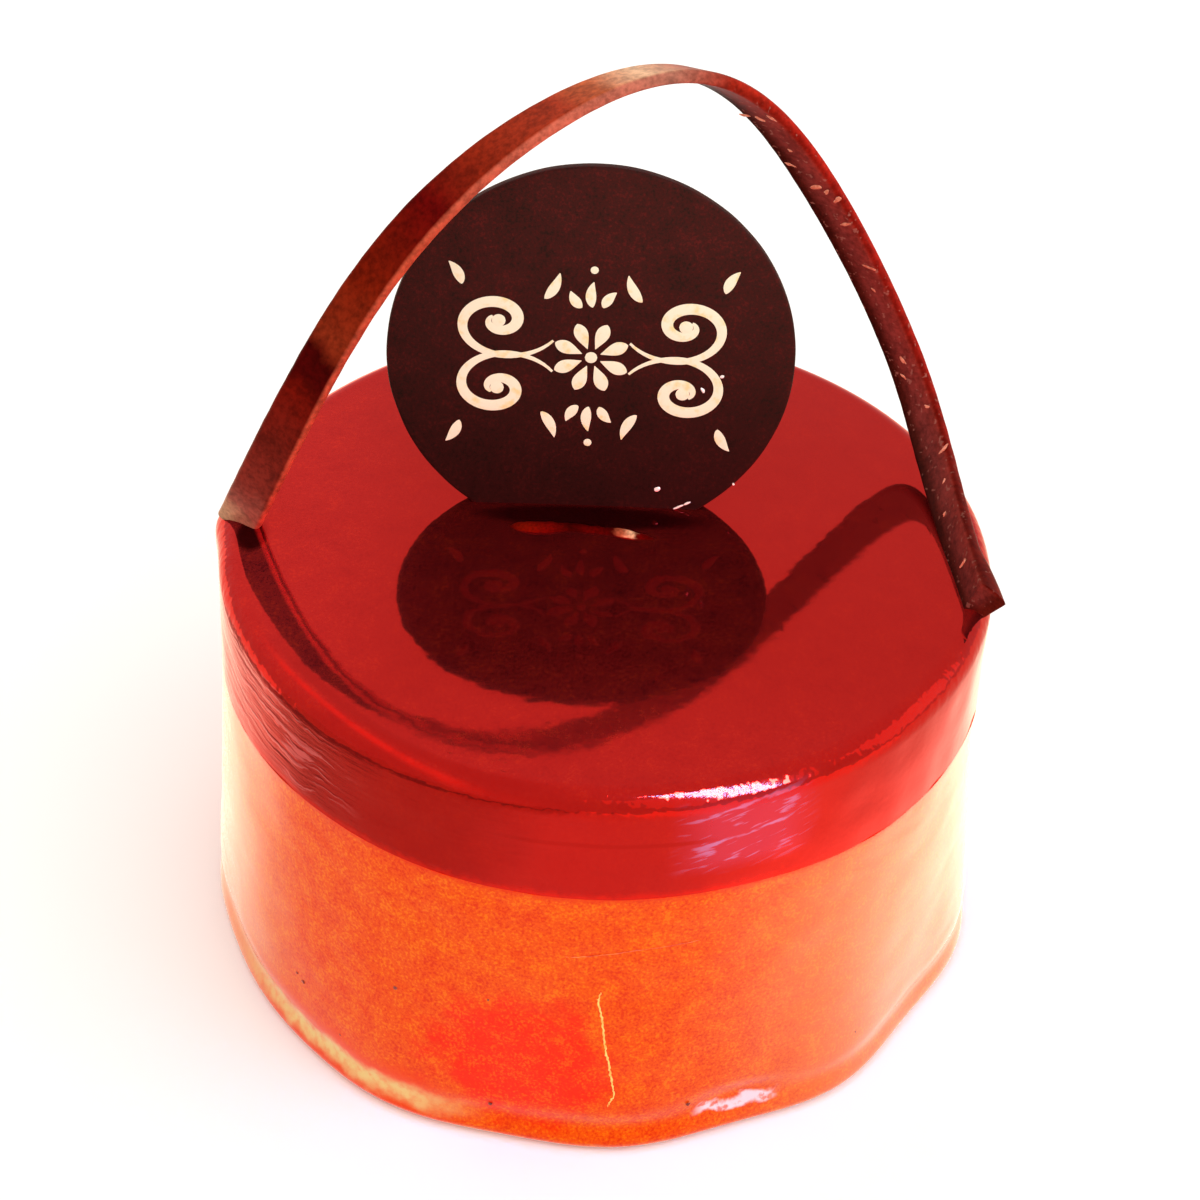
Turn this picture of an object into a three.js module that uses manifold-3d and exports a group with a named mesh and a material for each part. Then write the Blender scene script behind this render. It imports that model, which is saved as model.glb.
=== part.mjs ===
// A single-serving chocolate mousse cake: a drum of milk chocolate mousse with a dark glazed layer
// on top, a round chocolate plaque leaning back in the glaze, and a chocolate ribbon that arches
// over the plaque from rim to rim. Millimetres, +Z up, origin at the centre of the base, -Y in front.
import * as THREE from "three";
import { NURBSCurve } from "three/addons/curves/NURBSCurve.js";
import { mergeVertices } from "three/addons/utils/BufferGeometryUtils.js";
import Module from "manifold-3d";

const wasm = await Module();
wasm.setup();

// ---------------------------------------------------------------- driving dimensions, millimetres

const CAKE = {
  wallRadius: 35.0, // of the dark layer, where the wall is upright
  baseFlare: 1.15, // how much wider the wall is at its foot
  baseRound: 1.1, // corner between the wall and the flat base
  layerHeight: 29.85, // where the mousse ends and the dark layer starts
  rimHeight: 41.4, // top of the rounded rim
  rimRound: 2.2,
  rimTilt: 0.25, // the rim is this much higher at the back, and lower in front
  domeRise: 0.9, // how much higher the glaze stands in the middle
};

// The glaze swells out where the ribbon's foot pushes into the rim.
const BULGE = { azimuthDeg: 176, height: 38.6, out: 0.85, halfAngleDeg: 5, halfHeight: 2.8 };

// Hand-made unevenness of the wall: waves round the cake, deepest at its foot.
const WALL_WAVES = [
  { count: 3, size: 0.31, phaseDeg: 30 },
  { count: 6, size: 0.14, phaseDeg: 9 },
  { count: 9, size: 0.24, phaseDeg: -70 },
  { count: 11, size: 0.23, phaseDeg: 177 },
];
const WAVE_SHARE_AT_TOP = 0.12;
const WAVE_FADE_HEIGHT = 22;

// Unevenness of the line between the two layers.
const LAYER_WAVES = [
  { count: 2, size: 0.22, phaseDeg: 170 },
  { count: 5, size: 0.16, phaseDeg: 40 },
];

const PLAQUE = {
  radius: 18.2,
  thickness: 1.1,
  edgeRound: 0.25,
  frontCentre: new THREE.Vector3(-2.2, 5.9, 57.1),
  leanDeg: 8.6, // the top leans to the back
  yawDeg: 1, // turned a little to the right
};

const RIBBON = {
  width: 4.05,
  thickness: 1.2,
  edgeRound: 0.35,
  footDepth: 1.2, // how far the left foot goes on down into the glaze
  endFlare: 0.9, // extra thickness at the broken right end
  endFlareLength: 2.6,
  endCorner: 2.2, // how far the broken end's outer corner sticks out
};

// The ribbon's middle line, as the control points of one smooth curve: up from the left rim, over
// the plaque, down at the back and round to the right rim, where it stands on its lower edge.
const RIBBON_PATH = [
  [-33.3, 0.6, 41.2],
  [-30.0, -5.3, 51.6],
  [-22.1, -0.2, 70.2],
  [-6.4, 7.2, 82.5],
  [7.0, 16.2, 82.8],
  [16.8, 18.4, 70.8],
  [28.9, 19.5, 47.0],
  [30.3, 9.3, 43.0],
  [33.0, -7.4, 42.4],
];

// How far its outer face is turned to the back along that line, in degrees (negative: to the front).
const RIBBON_TWIST_DEG = [-66, -61, -12, 85, 37, 100];

const GAP = 0.3; // clearance between neighbouring pieces

// Facets
const AROUND = 112;
const MOUSSE_WALL_STEPS = 6;
const DARK_WALL_STEPS = 4;
const CORNER_STEPS = 4;
const DOME_RINGS = [0.88, 0.62, 0.32];
const PLAQUE_SEGMENTS = 80;
const RIBBON_STEPS = 100;

const COLOURS = {
  mousse: 0xc8602c,
  darkLayer: 0x8e1c14,
  plaque: 0x3a1712,
  ribbon: 0x6e2319,
};

// ---------------------------------------------------------------------------------- small helpers

const radians = THREE.MathUtils.degToRad;
const lerp = THREE.MathUtils.lerp;
const smoothstep = THREE.MathUtils.smoothstep;

function sumOfWaves(waves, azimuth) {
  return waves.reduce(
    (sum, wave) => sum + wave.size * Math.cos(wave.count * azimuth - radians(wave.phaseDeg)),
    0,
  );
}

// Distance between two directions round the cake, from -PI to PI.
function angleBetween(a, b) {
  return Math.atan2(Math.sin(a - b), Math.cos(a - b));
}

// A closed solid through a stack of rings, each a loop of the same number of points that runs
// anticlockwise round the stack's own direction. Its two ends are closed to their middle points.
function solidThroughRings(rings, startMiddle, endMiddle) {
  const around = rings[0].length;
  const positions = [];
  for (const ring of rings) {
    for (const point of ring) positions.push(...point.toArray());
  }
  const startIndex = rings.length * around;
  const endIndex = startIndex + 1;
  positions.push(...startMiddle.toArray(), ...endMiddle.toArray());
  const indices = [];
  for (let i = 0; i < rings.length - 1; i++) {
    for (let j = 0; j < around; j++) {
      const next = (j + 1) % around;
      const low = i * around;
      const high = low + around;
      indices.push(low + j, low + next, high + next);
      indices.push(low + j, high + next, high + j);
    }
  }
  const last = (rings.length - 1) * around;
  for (let j = 0; j < around; j++) {
    const next = (j + 1) % around;
    indices.push(startIndex, next, j);
    indices.push(endIndex, last + j, last + next);
  }
  const geometry = new THREE.BufferGeometry();
  geometry.setAttribute("position", new THREE.Float32BufferAttribute(positions, 3));
  geometry.setIndex(indices);
  geometry.computeVertexNormals();
  return geometry;
}

function toManifold(geometry) {
  const bare = geometry.clone();
  bare.deleteAttribute("normal");
  bare.deleteAttribute("uv");
  const merged = mergeVertices(bare, 1e-4);
  return new wasm.Manifold(
    new wasm.Mesh({
      numProp: 3,
      vertProperties: new Float32Array(merged.attributes.position.array),
      triVerts: new Uint32Array(merged.index.array),
    }),
  );
}

function toGeometry(manifold) {
  const mesh = manifold.getMesh();
  const geometry = new THREE.BufferGeometry();
  geometry.setAttribute("position", new THREE.BufferAttribute(mesh.vertProperties, 3));
  geometry.setIndex(new THREE.BufferAttribute(mesh.triVerts, 1));
  geometry.computeVertexNormals();
  return geometry;
}

function cut(geometry, ...tools) {
  const solid = tools.reduce(
    (rest, tool) => rest.subtract(toManifold(tool)),
    toManifold(geometry),
  );
  return toGeometry(solid);
}

function material(colour, roughness) {
  return new THREE.MeshStandardMaterial({ color: colour, roughness, metalness: 0 });
}

function named(name, geometry, finish) {
  const mesh = new THREE.Mesh(geometry, finish);
  mesh.name = name;
  return mesh;
}

// --------------------------------------------------------------------------------- the cake's drum

function layerLine(azimuth) {
  return CAKE.layerHeight + sumOfWaves(LAYER_WAVES, azimuth);
}

function rimTop(azimuth) {
  return CAKE.rimHeight + CAKE.rimTilt * Math.sin(azimuth);
}

// How far the wall stands from the cake's middle line, before its corners are rounded.
function wallRadius(azimuth, z) {
  const flare = CAKE.baseFlare * Math.max(0, 1 - z / CAKE.layerHeight) ** 1.2;
  const waveShare = lerp(1, WAVE_SHARE_AT_TOP, smoothstep(z, 0, WAVE_FADE_HEIGHT));
  const turn = angleBetween(azimuth, radians(BULGE.azimuthDeg)) / radians(BULGE.halfAngleDeg);
  const rise = (z - BULGE.height) / BULGE.halfHeight;
  const bulge = BULGE.out * Math.exp(-turn * turn - rise * rise);
  return CAKE.wallRadius + flare + waveShare * sumOfWaves(WALL_WAVES, azimuth) + bulge;
}

function ringRoundCake(radiusAt, heightAt) {
  return Array.from({ length: AROUND }, (_, j) => {
    const azimuth = (2 * Math.PI * j) / AROUND;
    const radius = radiusAt(azimuth);
    return new THREE.Vector3(
      radius * Math.cos(azimuth),
      radius * Math.sin(azimuth),
      heightAt(azimuth),
    );
  });
}

// The lower layer, from the flat base up to the line between the layers.
function mousseLayer() {
  const rings = [];
  for (let i = 0; i <= CORNER_STEPS; i++) {
    const turn = (i / CORNER_STEPS) * (Math.PI / 2);
    const inset = CAKE.baseRound * (1 - Math.sin(turn));
    const z = CAKE.baseRound * (1 - Math.cos(turn));
    rings.push(ringRoundCake((azimuth) => wallRadius(azimuth, z) - inset, () => z));
  }
  for (let i = 1; i <= MOUSSE_WALL_STEPS; i++) {
    const height = (azimuth) =>
      lerp(CAKE.baseRound, layerLine(azimuth) - GAP / 2, i / MOUSSE_WALL_STEPS);
    rings.push(ringRoundCake((azimuth) => wallRadius(azimuth, height(azimuth)), height));
  }
  return solidThroughRings(
    rings,
    new THREE.Vector3(0, 0, 0),
    new THREE.Vector3(0, 0, CAKE.layerHeight - GAP / 2),
  );
}

// The upper layer, from that line over the rounded rim to the domed top.
function darkLayer() {
  const rings = [];
  for (let i = 0; i <= DARK_WALL_STEPS; i++) {
    const height = (azimuth) =>
      lerp(layerLine(azimuth) + GAP / 2, rimTop(azimuth) - CAKE.rimRound, i / DARK_WALL_STEPS);
    rings.push(ringRoundCake((azimuth) => wallRadius(azimuth, height(azimuth)), height));
  }
  for (let i = 1; i <= CORNER_STEPS; i++) {
    const turn = (i / CORNER_STEPS) * (Math.PI / 2);
    const inset = CAKE.rimRound * (1 - Math.cos(turn));
    const drop = CAKE.rimRound * (1 - Math.sin(turn));
    const height = (azimuth) => rimTop(azimuth) - drop;
    rings.push(ringRoundCake((azimuth) => wallRadius(azimuth, height(azimuth)) - inset, height));
  }
  for (const share of DOME_RINGS) {
    const rise = CAKE.domeRise * (1 - share * share);
    rings.push(
      ringRoundCake(
        () => share * (CAKE.wallRadius - CAKE.rimRound),
        (azimuth) => lerp(CAKE.rimHeight, rimTop(azimuth), share) + rise,
      ),
    );
  }
  return solidThroughRings(
    rings,
    new THREE.Vector3(0, 0, CAKE.layerHeight + GAP / 2),
    new THREE.Vector3(0, 0, CAKE.rimHeight + CAKE.domeRise),
  );
}

// ---------------------------------------------------------------------------------------- plaque

// A round plate about its own Y axis, with its front face at y = 0 and its back at y = -thickness.
function roundPlate(radius, thickness, edgeRound) {
  const profile = new THREE.Path();
  profile.moveTo(0, -thickness);
  profile.lineTo(radius - edgeRound, -thickness);
  profile.absarc(radius - edgeRound, edgeRound - thickness, edgeRound, -Math.PI / 2, 0, false);
  profile.lineTo(radius, -edgeRound);
  profile.absarc(radius - edgeRound, -edgeRound, edgeRound, 0, Math.PI / 2, false);
  profile.lineTo(0, 0);
  return new THREE.LatheGeometry(profile.getPoints(2), PLAQUE_SEGMENTS);
}

// Turns the plate's front to -Y, leans it to the back, and puts its front's middle in place.
function plaquePose() {
  const pose = new THREE.Object3D();
  pose.rotation.order = "ZYX";
  pose.rotation.set(radians(180 - PLAQUE.leanDeg), 0, radians(PLAQUE.yawDeg));
  pose.position.copy(PLAQUE.frontCentre);
  return pose;
}

function plaqueSlot() {
  const slot = roundPlate(PLAQUE.radius + GAP, PLAQUE.thickness + 2 * GAP, PLAQUE.edgeRound);
  slot.translate(0, GAP, 0);
  const pose = plaquePose();
  pose.updateMatrix();
  return slot.applyMatrix4(pose.matrix);
}

// ---------------------------------------------------------------------------------------- ribbon

// A smooth cubic curve that starts at the first control point and ends at the last.
function smoothCurve(points) {
  const degree = 3;
  const spans = points.length - degree;
  const knots = [];
  for (let i = 0; i < points.length + degree + 1; i++) {
    knots.push(THREE.MathUtils.clamp(i - degree, 0, spans) / spans);
  }
  const controls = points.map((point) => new THREE.Vector4(...point, 1));
  return new NURBSCurve(degree, knots, controls);
}

// Middle, outward direction and backward direction of the strip at a share of its path.
function ribbonFrame(path, twist, share) {
  const middle = path.getPoint(share);
  const along = path.getTangent(share);
  const backward = new THREE.Vector3(0, 1, 0);
  backward.addScaledVector(along, -along.y).normalize();
  const outward = new THREE.Vector3().crossVectors(along, backward);
  const turn = -radians(twist.getPoint(share).x);
  outward.applyAxisAngle(along, turn);
  backward.applyAxisAngle(along, turn);
  return { middle, along, outward, backward };
}

// The strip's cross-section, as [backward, outward] pairs, anticlockwise about the way it runs.
function ribbonSection(width, thickness, edgeRound) {
  const w = width / 2;
  const t = thickness / 2;
  const e = edgeRound;
  return [
    [w, t - e],
    [w - e, t],
    [-w + e, t],
    [-w, t - e],
    [-w, -t + e],
    [-w + e, -t],
    [w - e, -t],
    [w, -t + e],
  ];
}

// The strip, made larger all round by a margin.
function ribbonStrip(margin) {
  const path = smoothCurve(RIBBON_PATH);
  const twist = smoothCurve(RIBBON_TWIST_DEG.map((angle) => [angle, 0, 0]));
  const length = path.getLength();
  const width = RIBBON.width + 2 * margin;
  const thickness = RIBBON.thickness + 2 * margin;
  const section = ribbonSection(width, thickness, RIBBON.edgeRound);
  const rings = [];
  const ringAt = (share, slide) => {
    const frame = ribbonFrame(path, twist, share);
    const toEnd = (1 - share) * length;
    const flare = RIBBON.endFlare * (1 - smoothstep(toEnd, 0, RIBBON.endFlareLength));
    return section.map(([back, out]) => {
      const outness = 0.5 + out / thickness;
      const frontness = 0.5 - back / width;
      const corner = share === 1 ? RIBBON.endCorner * outness * frontness : 0;
      return frame.middle
        .clone()
        .addScaledVector(frame.backward, back)
        .addScaledVector(frame.outward, out + flare * outness)
        .addScaledVector(frame.along, slide + corner);
    });
  };
  rings.push(ringAt(0, -RIBBON.footDepth - margin));
  for (let i = 0; i < RIBBON_STEPS; i++) rings.push(ringAt(i / RIBBON_STEPS, 0));
  rings.push(ringAt(1, margin));
  const middleOf = (ring) =>
    ring.reduce((sum, point) => sum.add(point), new THREE.Vector3()).divideScalar(ring.length);
  return solidThroughRings(rings, middleOf(rings[0]), middleOf(rings.at(-1)));
}

// ------------------------------------------------------------------------------------- the cake

const cake = new THREE.Group();

cake.add(named("mousse_layer", mousseLayer(), material(COLOURS.mousse, 0.35)));
cake.add(
  named(
    "dark_glazed_layer",
    cut(darkLayer(), plaqueSlot(), ribbonStrip(GAP)),
    material(COLOURS.darkLayer, 0.08),
  ),
);

const plaque = named(
  "plaque",
  roundPlate(PLAQUE.radius, PLAQUE.thickness, PLAQUE.edgeRound),
  material(COLOURS.plaque, 0.4),
);
const pose = plaquePose();
plaque.rotation.copy(pose.rotation);
plaque.position.copy(pose.position);
cake.add(plaque);

cake.add(named("ribbon", ribbonStrip(0), material(COLOURS.ribbon, 0.45)));

export default cake;
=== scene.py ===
"""Looks of a single-serving chocolate mousse cake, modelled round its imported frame.

Metres, +Z up, origin at the centre of the flat base, the plaque faces -Y.
"""

import logging
import math
from collections.abc import Callable, Sequence
from dataclasses import dataclass
from enum import Enum

import bpy
import numpy as np
from mathutils import Matrix, Vector


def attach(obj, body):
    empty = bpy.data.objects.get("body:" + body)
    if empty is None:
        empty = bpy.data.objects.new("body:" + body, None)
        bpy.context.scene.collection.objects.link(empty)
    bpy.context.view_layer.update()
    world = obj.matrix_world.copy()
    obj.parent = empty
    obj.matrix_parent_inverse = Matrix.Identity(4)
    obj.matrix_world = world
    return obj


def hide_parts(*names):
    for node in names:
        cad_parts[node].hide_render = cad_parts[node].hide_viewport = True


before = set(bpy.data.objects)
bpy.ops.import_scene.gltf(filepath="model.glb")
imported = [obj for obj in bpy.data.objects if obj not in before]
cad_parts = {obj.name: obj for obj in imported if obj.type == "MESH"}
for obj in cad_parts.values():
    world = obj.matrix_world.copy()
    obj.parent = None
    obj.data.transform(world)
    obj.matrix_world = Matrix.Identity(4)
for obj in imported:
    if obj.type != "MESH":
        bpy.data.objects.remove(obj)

LOG = logging.getLogger("mousse_cake")
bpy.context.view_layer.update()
BODY = "root"
MM = 0.001
MERGE_DISTANCE = 0.0005 * MM
SMOOTH_ANGLE = math.radians(50)
CRISP_ANGLE = math.radians(30)
WALL_RADIUS = 35.0 * MM
MIRROR_FROM = 40.2 * MM
WAVES = 24

Points = np.ndarray
Stroke = tuple[Points, np.ndarray]
Pair = tuple[float, float]
Colour = tuple[float, float, float, float]
Stops = tuple[tuple[float, Colour], ...]
Socket = bpy.types.NodeSocket


class Slot(Enum):
    """Material slots of the record."""

    MOUSSE = "milk_chocolate_mousse"
    GLAZE = "dark_chocolate_glaze"
    PLAQUE = "plaque_chocolate"
    RIBBON = "ribbon_chocolate"


def display_colour(red: int, green: int, blue: int) -> Colour:
    """A colour as a screen shows it, in linear light.

    Args:
        red: Red from 0 to 255.
        green: Green from 0 to 255.
        blue: Blue from 0 to 255.

    Returns:
        Red, green, blue and an alpha of 1.
    """
    linear = [((c / 255 + 0.055) / 1.055) ** 2.4 if c > 10 else c / 255 / 12.92 for c in (red, green, blue)]
    return (*linear, 1.0)


def seen_as(red: int, green: int, blue: int, light: float = 1.5, shine: float = 0.008) -> Colour:
    """Base colour of a surface that looks like a given screen colour in this studio.

    Args:
        red: Red of the look, from 0 to 255.
        green: Green of the look.
        blue: Blue of the look.
        light: How bright the studio makes a white surface.
        shine: White light that the surface mirrors.

    Returns:
        The base colour in linear light.
    """
    least = 0.15
    look = display_colour(red, green, blue)[:3]
    return (*(max(part - shine, least * part) / light for part in look), 1.0)


def stops_seen_as(*rows: tuple[float, int, int, int], shine: float = 0.008) -> Stops:
    """Colour stops from rows of a position and the screen colour that it looks like."""
    return tuple((position, seen_as(*look, shine=shine)) for position, *look in rows)


# ------------------------------------------------------------------------------ modelling helpers


def deselect_all() -> None:
    """Leave nothing selected, in object mode."""
    if bpy.context.object and bpy.context.object.mode != "OBJECT":
        bpy.ops.object.mode_set(mode="OBJECT")
    bpy.ops.object.select_all(action="DESELECT")


def new_piece(name: str) -> bpy.types.Object:
    """Name the primitive that was just added, and its mesh.

    Args:
        name: The name of both.

    Returns:
        The primitive.
    """
    piece = bpy.context.object
    piece.name = name
    piece.data.name = name
    return piece


def only_active(piece: bpy.types.Object) -> None:
    """Make one piece the whole selection.

    Args:
        piece: The object to select.
    """
    deselect_all()
    piece.select_set(True)
    bpy.context.view_layer.objects.active = piece


def vertex_positions(piece: bpy.types.Object) -> Points:
    """Positions of a piece's vertices.

    Args:
        piece: A mesh object.

    Returns:
        One row for each vertex.
    """
    flat = np.empty(len(piece.data.vertices) * 3)
    piece.data.vertices.foreach_get("co", flat)
    return flat.reshape(-1, 3)


def move_vertices(piece: bpy.types.Object, positions: Points) -> None:
    """Give a piece's vertices new positions, one row each."""
    piece.data.vertices.foreach_set("co", positions.ravel())
    piece.data.update()


def store(piece: bpy.types.Object, name: str, rows: Points) -> None:
    """Store three numbers with each vertex of a piece, for its material."""
    attribute = piece.data.attributes.new(name, "FLOAT_VECTOR", "POINT")
    attribute.data.foreach_set("vector", np.ascontiguousarray(rows, dtype=np.float32).ravel())


def bevel_edges(
    piece: bpy.types.Object, chosen: Callable[[Vector, Vector], bool], width: float, steps: int
) -> None:
    """Round some edges of a piece.

    Args:
        piece: The object to edit.
        chosen: Says of an edge's two end points whether it is rounded.
        width: How wide the rounding is.
        steps: How many faces make it up.
    """
    only_active(piece)
    bpy.ops.object.mode_set(mode="EDIT")
    bpy.ops.mesh.select_mode(type="EDGE")
    bpy.ops.mesh.select_all(action="DESELECT")
    bpy.ops.object.mode_set(mode="OBJECT")
    mesh = piece.data
    for edge in mesh.edges:
        edge.select = chosen(*(mesh.vertices[i].co for i in edge.vertices))
    bpy.ops.object.mode_set(mode="EDIT")
    bpy.ops.mesh.bevel(offset=width, segments=steps, affect="EDGES")
    bpy.ops.object.mode_set(mode="OBJECT")


def close_and_smooth(piece: bpy.types.Object, angle: float = SMOOTH_ANGLE) -> None:
    """Merge doubles, turn all faces outwards, and smooth the shallow edges.

    Args:
        piece: The object to finish.
        angle: Edges under this angle are smoothed.
    """
    only_active(piece)
    bpy.ops.object.mode_set(mode="EDIT")
    bpy.ops.mesh.select_all(action="SELECT")
    bpy.ops.mesh.remove_doubles(threshold=MERGE_DISTANCE)
    bpy.ops.mesh.normals_make_consistent(inside=False)
    bpy.ops.object.mode_set(mode="OBJECT")
    bpy.ops.object.shade_smooth_by_angle(angle=angle)


def spun_body(name: str, profile: Sequence[Pair], steps: int) -> bpy.types.Object:
    """Draw a profile by extruding a point, and spin it round the cake's middle line.

    Args:
        name: The piece's name.
        profile: Radius and height of each point. The first and the last are on the middle line.
        steps: How many steps make the full turn.

    Returns:
        The closed body.
    """
    deselect_all()
    bpy.ops.mesh.primitive_circle_add(vertices=3, radius=MM)
    piece = new_piece(name)
    bpy.ops.object.mode_set(mode="EDIT")
    bpy.ops.mesh.select_mode(type="VERT")
    bpy.ops.mesh.merge(type="CENTER")
    points = [Vector((radius, 0, height)) for radius, height in profile]
    bpy.ops.transform.translate(value=points[0])
    for last, point in zip(points, points[1:]):
        bpy.ops.mesh.extrude_region_move(TRANSFORM_OT_translate={"value": point - last})
    bpy.ops.mesh.select_all(action="SELECT")
    bpy.ops.mesh.spin(steps=steps, angle=2 * math.pi, center=(0, 0, 0), axis=(0, 0, 1))
    bpy.ops.object.mode_set(mode="OBJECT")
    close_and_smooth(piece)
    return piece


def quarter_arc(radius: float, steps: int) -> list[Pair]:
    """Inset and rise of the points of a rounded corner that starts flat and ends upright."""
    turns = [i / steps * math.pi / 2 for i in range(steps + 1)]
    return [(radius * (1 - math.sin(turn)), radius * (1 - math.cos(turn))) for turn in turns]


def round_points(radius: np.ndarray, azimuth: np.ndarray, height: np.ndarray) -> Points:
    """Points from their distance from the middle line, their direction and their height."""
    return np.stack([radius * np.cos(azimuth), radius * np.sin(azimuth), height], axis=1)


def bump(distance: np.ndarray, width: float) -> np.ndarray:
    """A smooth hump of height 1 at distance 0."""
    return np.exp(-((distance / width) ** 2))


def smooth_step(value: np.ndarray, start: float, end: float) -> np.ndarray:
    """Rises smoothly from 0 at start to 1 at end."""
    share = np.clip((value - start) / (end - start), 0, 1)
    return share * share * (3 - 2 * share)


@dataclass(frozen=True)
class Unevenness:
    """Smooth unevenness through space: its depth, the distance between crests, and which pattern."""

    depth: float
    wavelength: float
    seed: int

    def at(self, points: Points) -> np.ndarray:
        """Its value at some places.

        Args:
            points: Places, one row each.

        Returns:
            One value for each place, about from -2 to 2 times the depth.
        """
        random = np.random.default_rng(self.seed)
        directions = random.normal(size=(WAVES, 3))
        directions /= np.linalg.norm(directions, axis=1)[:, None]
        speeds = 2 * math.pi / self.wavelength * random.uniform(0.6, 1.5, WAVES)
        phases = random.uniform(0, 2 * math.pi, WAVES)
        waves = np.cos(points @ (directions * speeds[:, None]).T + phases).sum(axis=1)
        return self.depth * waves * math.sqrt(2 / WAVES)


def thread(name: str, lines: Sequence[Stroke], sides: int = 2) -> bpy.types.Object:
    """Round threads of changing thickness along lines, as one closed mesh.

    Args:
        name: The piece's name.
        lines: The points of each line with the thread's radius at each of them.
        sides: How finely the thread is rounded.

    Returns:
        The mesh object.
    """
    deselect_all()
    curve = bpy.data.curves.new(name, "CURVE")
    curve.dimensions = "3D"
    curve.bevel_depth = 1.0
    curve.bevel_resolution = sides
    curve.use_fill_caps = True
    for points, radii in lines:
        spline = curve.splines.new("POLY")
        spline.points.add(len(points) - 1)
        for place, point, radius in zip(spline.points, points, radii):
            place.co = (*point, 1.0)
            place.radius = radius
    holder = bpy.data.objects.new(name, curve)
    bpy.context.scene.collection.objects.link(holder)
    only_active(holder)
    bpy.ops.object.convert(target="MESH")
    piece = new_piece(name)
    close_and_smooth(piece)
    return piece


def scattered(name: str, places: Sequence[Matrix], roughness: float, seed: int) -> bpy.types.Object:
    """Small irregular lumps, one at each place, joined as one piece.

    Args:
        name: The piece's name.
        places: Turns, sizes and places, of a lump of radius 1.
        roughness: How uneven a lump is, as a share of its radius.
        seed: Which unevenness.

    Returns:
        The joined piece.
    """
    deselect_all()
    bpy.ops.mesh.primitive_ico_sphere_add(subdivisions=3, radius=1.0)
    lump = new_piece(name)
    ball = vertex_positions(lump)
    copies = []
    for i, place in enumerate(places):
        copy = lump.copy()
        copy.data = lump.data.copy()
        bpy.context.scene.collection.objects.link(copy)
        uneven = Unevenness(roughness, wavelength=1.6, seed=seed + i)
        move_vertices(copy, ball * (1 + uneven.at(ball))[:, None])
        copy.data.transform(place)
        copies.append(copy)
    bpy.data.objects.remove(lump)
    deselect_all()
    for copy in copies:
        copy.select_set(True)
    bpy.context.view_layer.objects.active = copies[0]
    bpy.ops.object.join()
    piece = new_piece(name)
    bpy.ops.object.shade_smooth()
    return piece


def hand_over(piece: bpy.types.Object, slot: Slot, material: bpy.types.Material, *nodes: str) -> None:
    """Dress a finished piece and tie it to the frame.

    Args:
        piece: The finished object, at the origin.
        slot: The record's slot it belongs to. Not used.
        material: Its finish.
        nodes: CAD nodes that it stands for.
    """
    piece.data.materials.clear()
    piece.data.materials.append(material)
    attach(piece, BODY)
    if nodes:
        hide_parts(*nodes)
    LOG.info("%s: %d faces, %s", piece.name, len(piece.data.polygons), material.name)


# ------------------------------------------------------------------------------- material helpers


@dataclass(frozen=True)
class Ramp:
    """A smooth way from start to end while a value goes from low to high."""

    low: float
    high: float
    start: float = 0.0
    end: float = 1.0


@dataclass(frozen=True)
class Band:
    """1 while a value is from low to high, falling to 0 within a margin outside them."""

    low: float
    high: float
    margin: float


@dataclass(frozen=True)
class Lumps:
    """Noise from 0 to 1: the size of its lumps and how finely they are broken up."""

    size: float
    detail: float = 3.0


@dataclass(frozen=True)
class Streaks:
    """Noise drawn out round the wall: the length, width and slope of its streaks."""

    length: float
    width: float
    slope: float = 0.0


@dataclass(frozen=True)
class Mottle:
    """Two-scale mottling: both sizes, the coarse one's share, and how far the tones spread."""

    fine: float
    coarse: float
    coarse_share: float
    contrast: float


@dataclass(frozen=True)
class Gloss:
    """Numbers of a surface's sheen that are the same all over it."""

    roughness: float
    index: float = 1.5
    tint: Colour = (1.0, 1.0, 1.0, 1.0)
    coat: float = 0.0
    coat_roughness: float = 0.05


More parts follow.
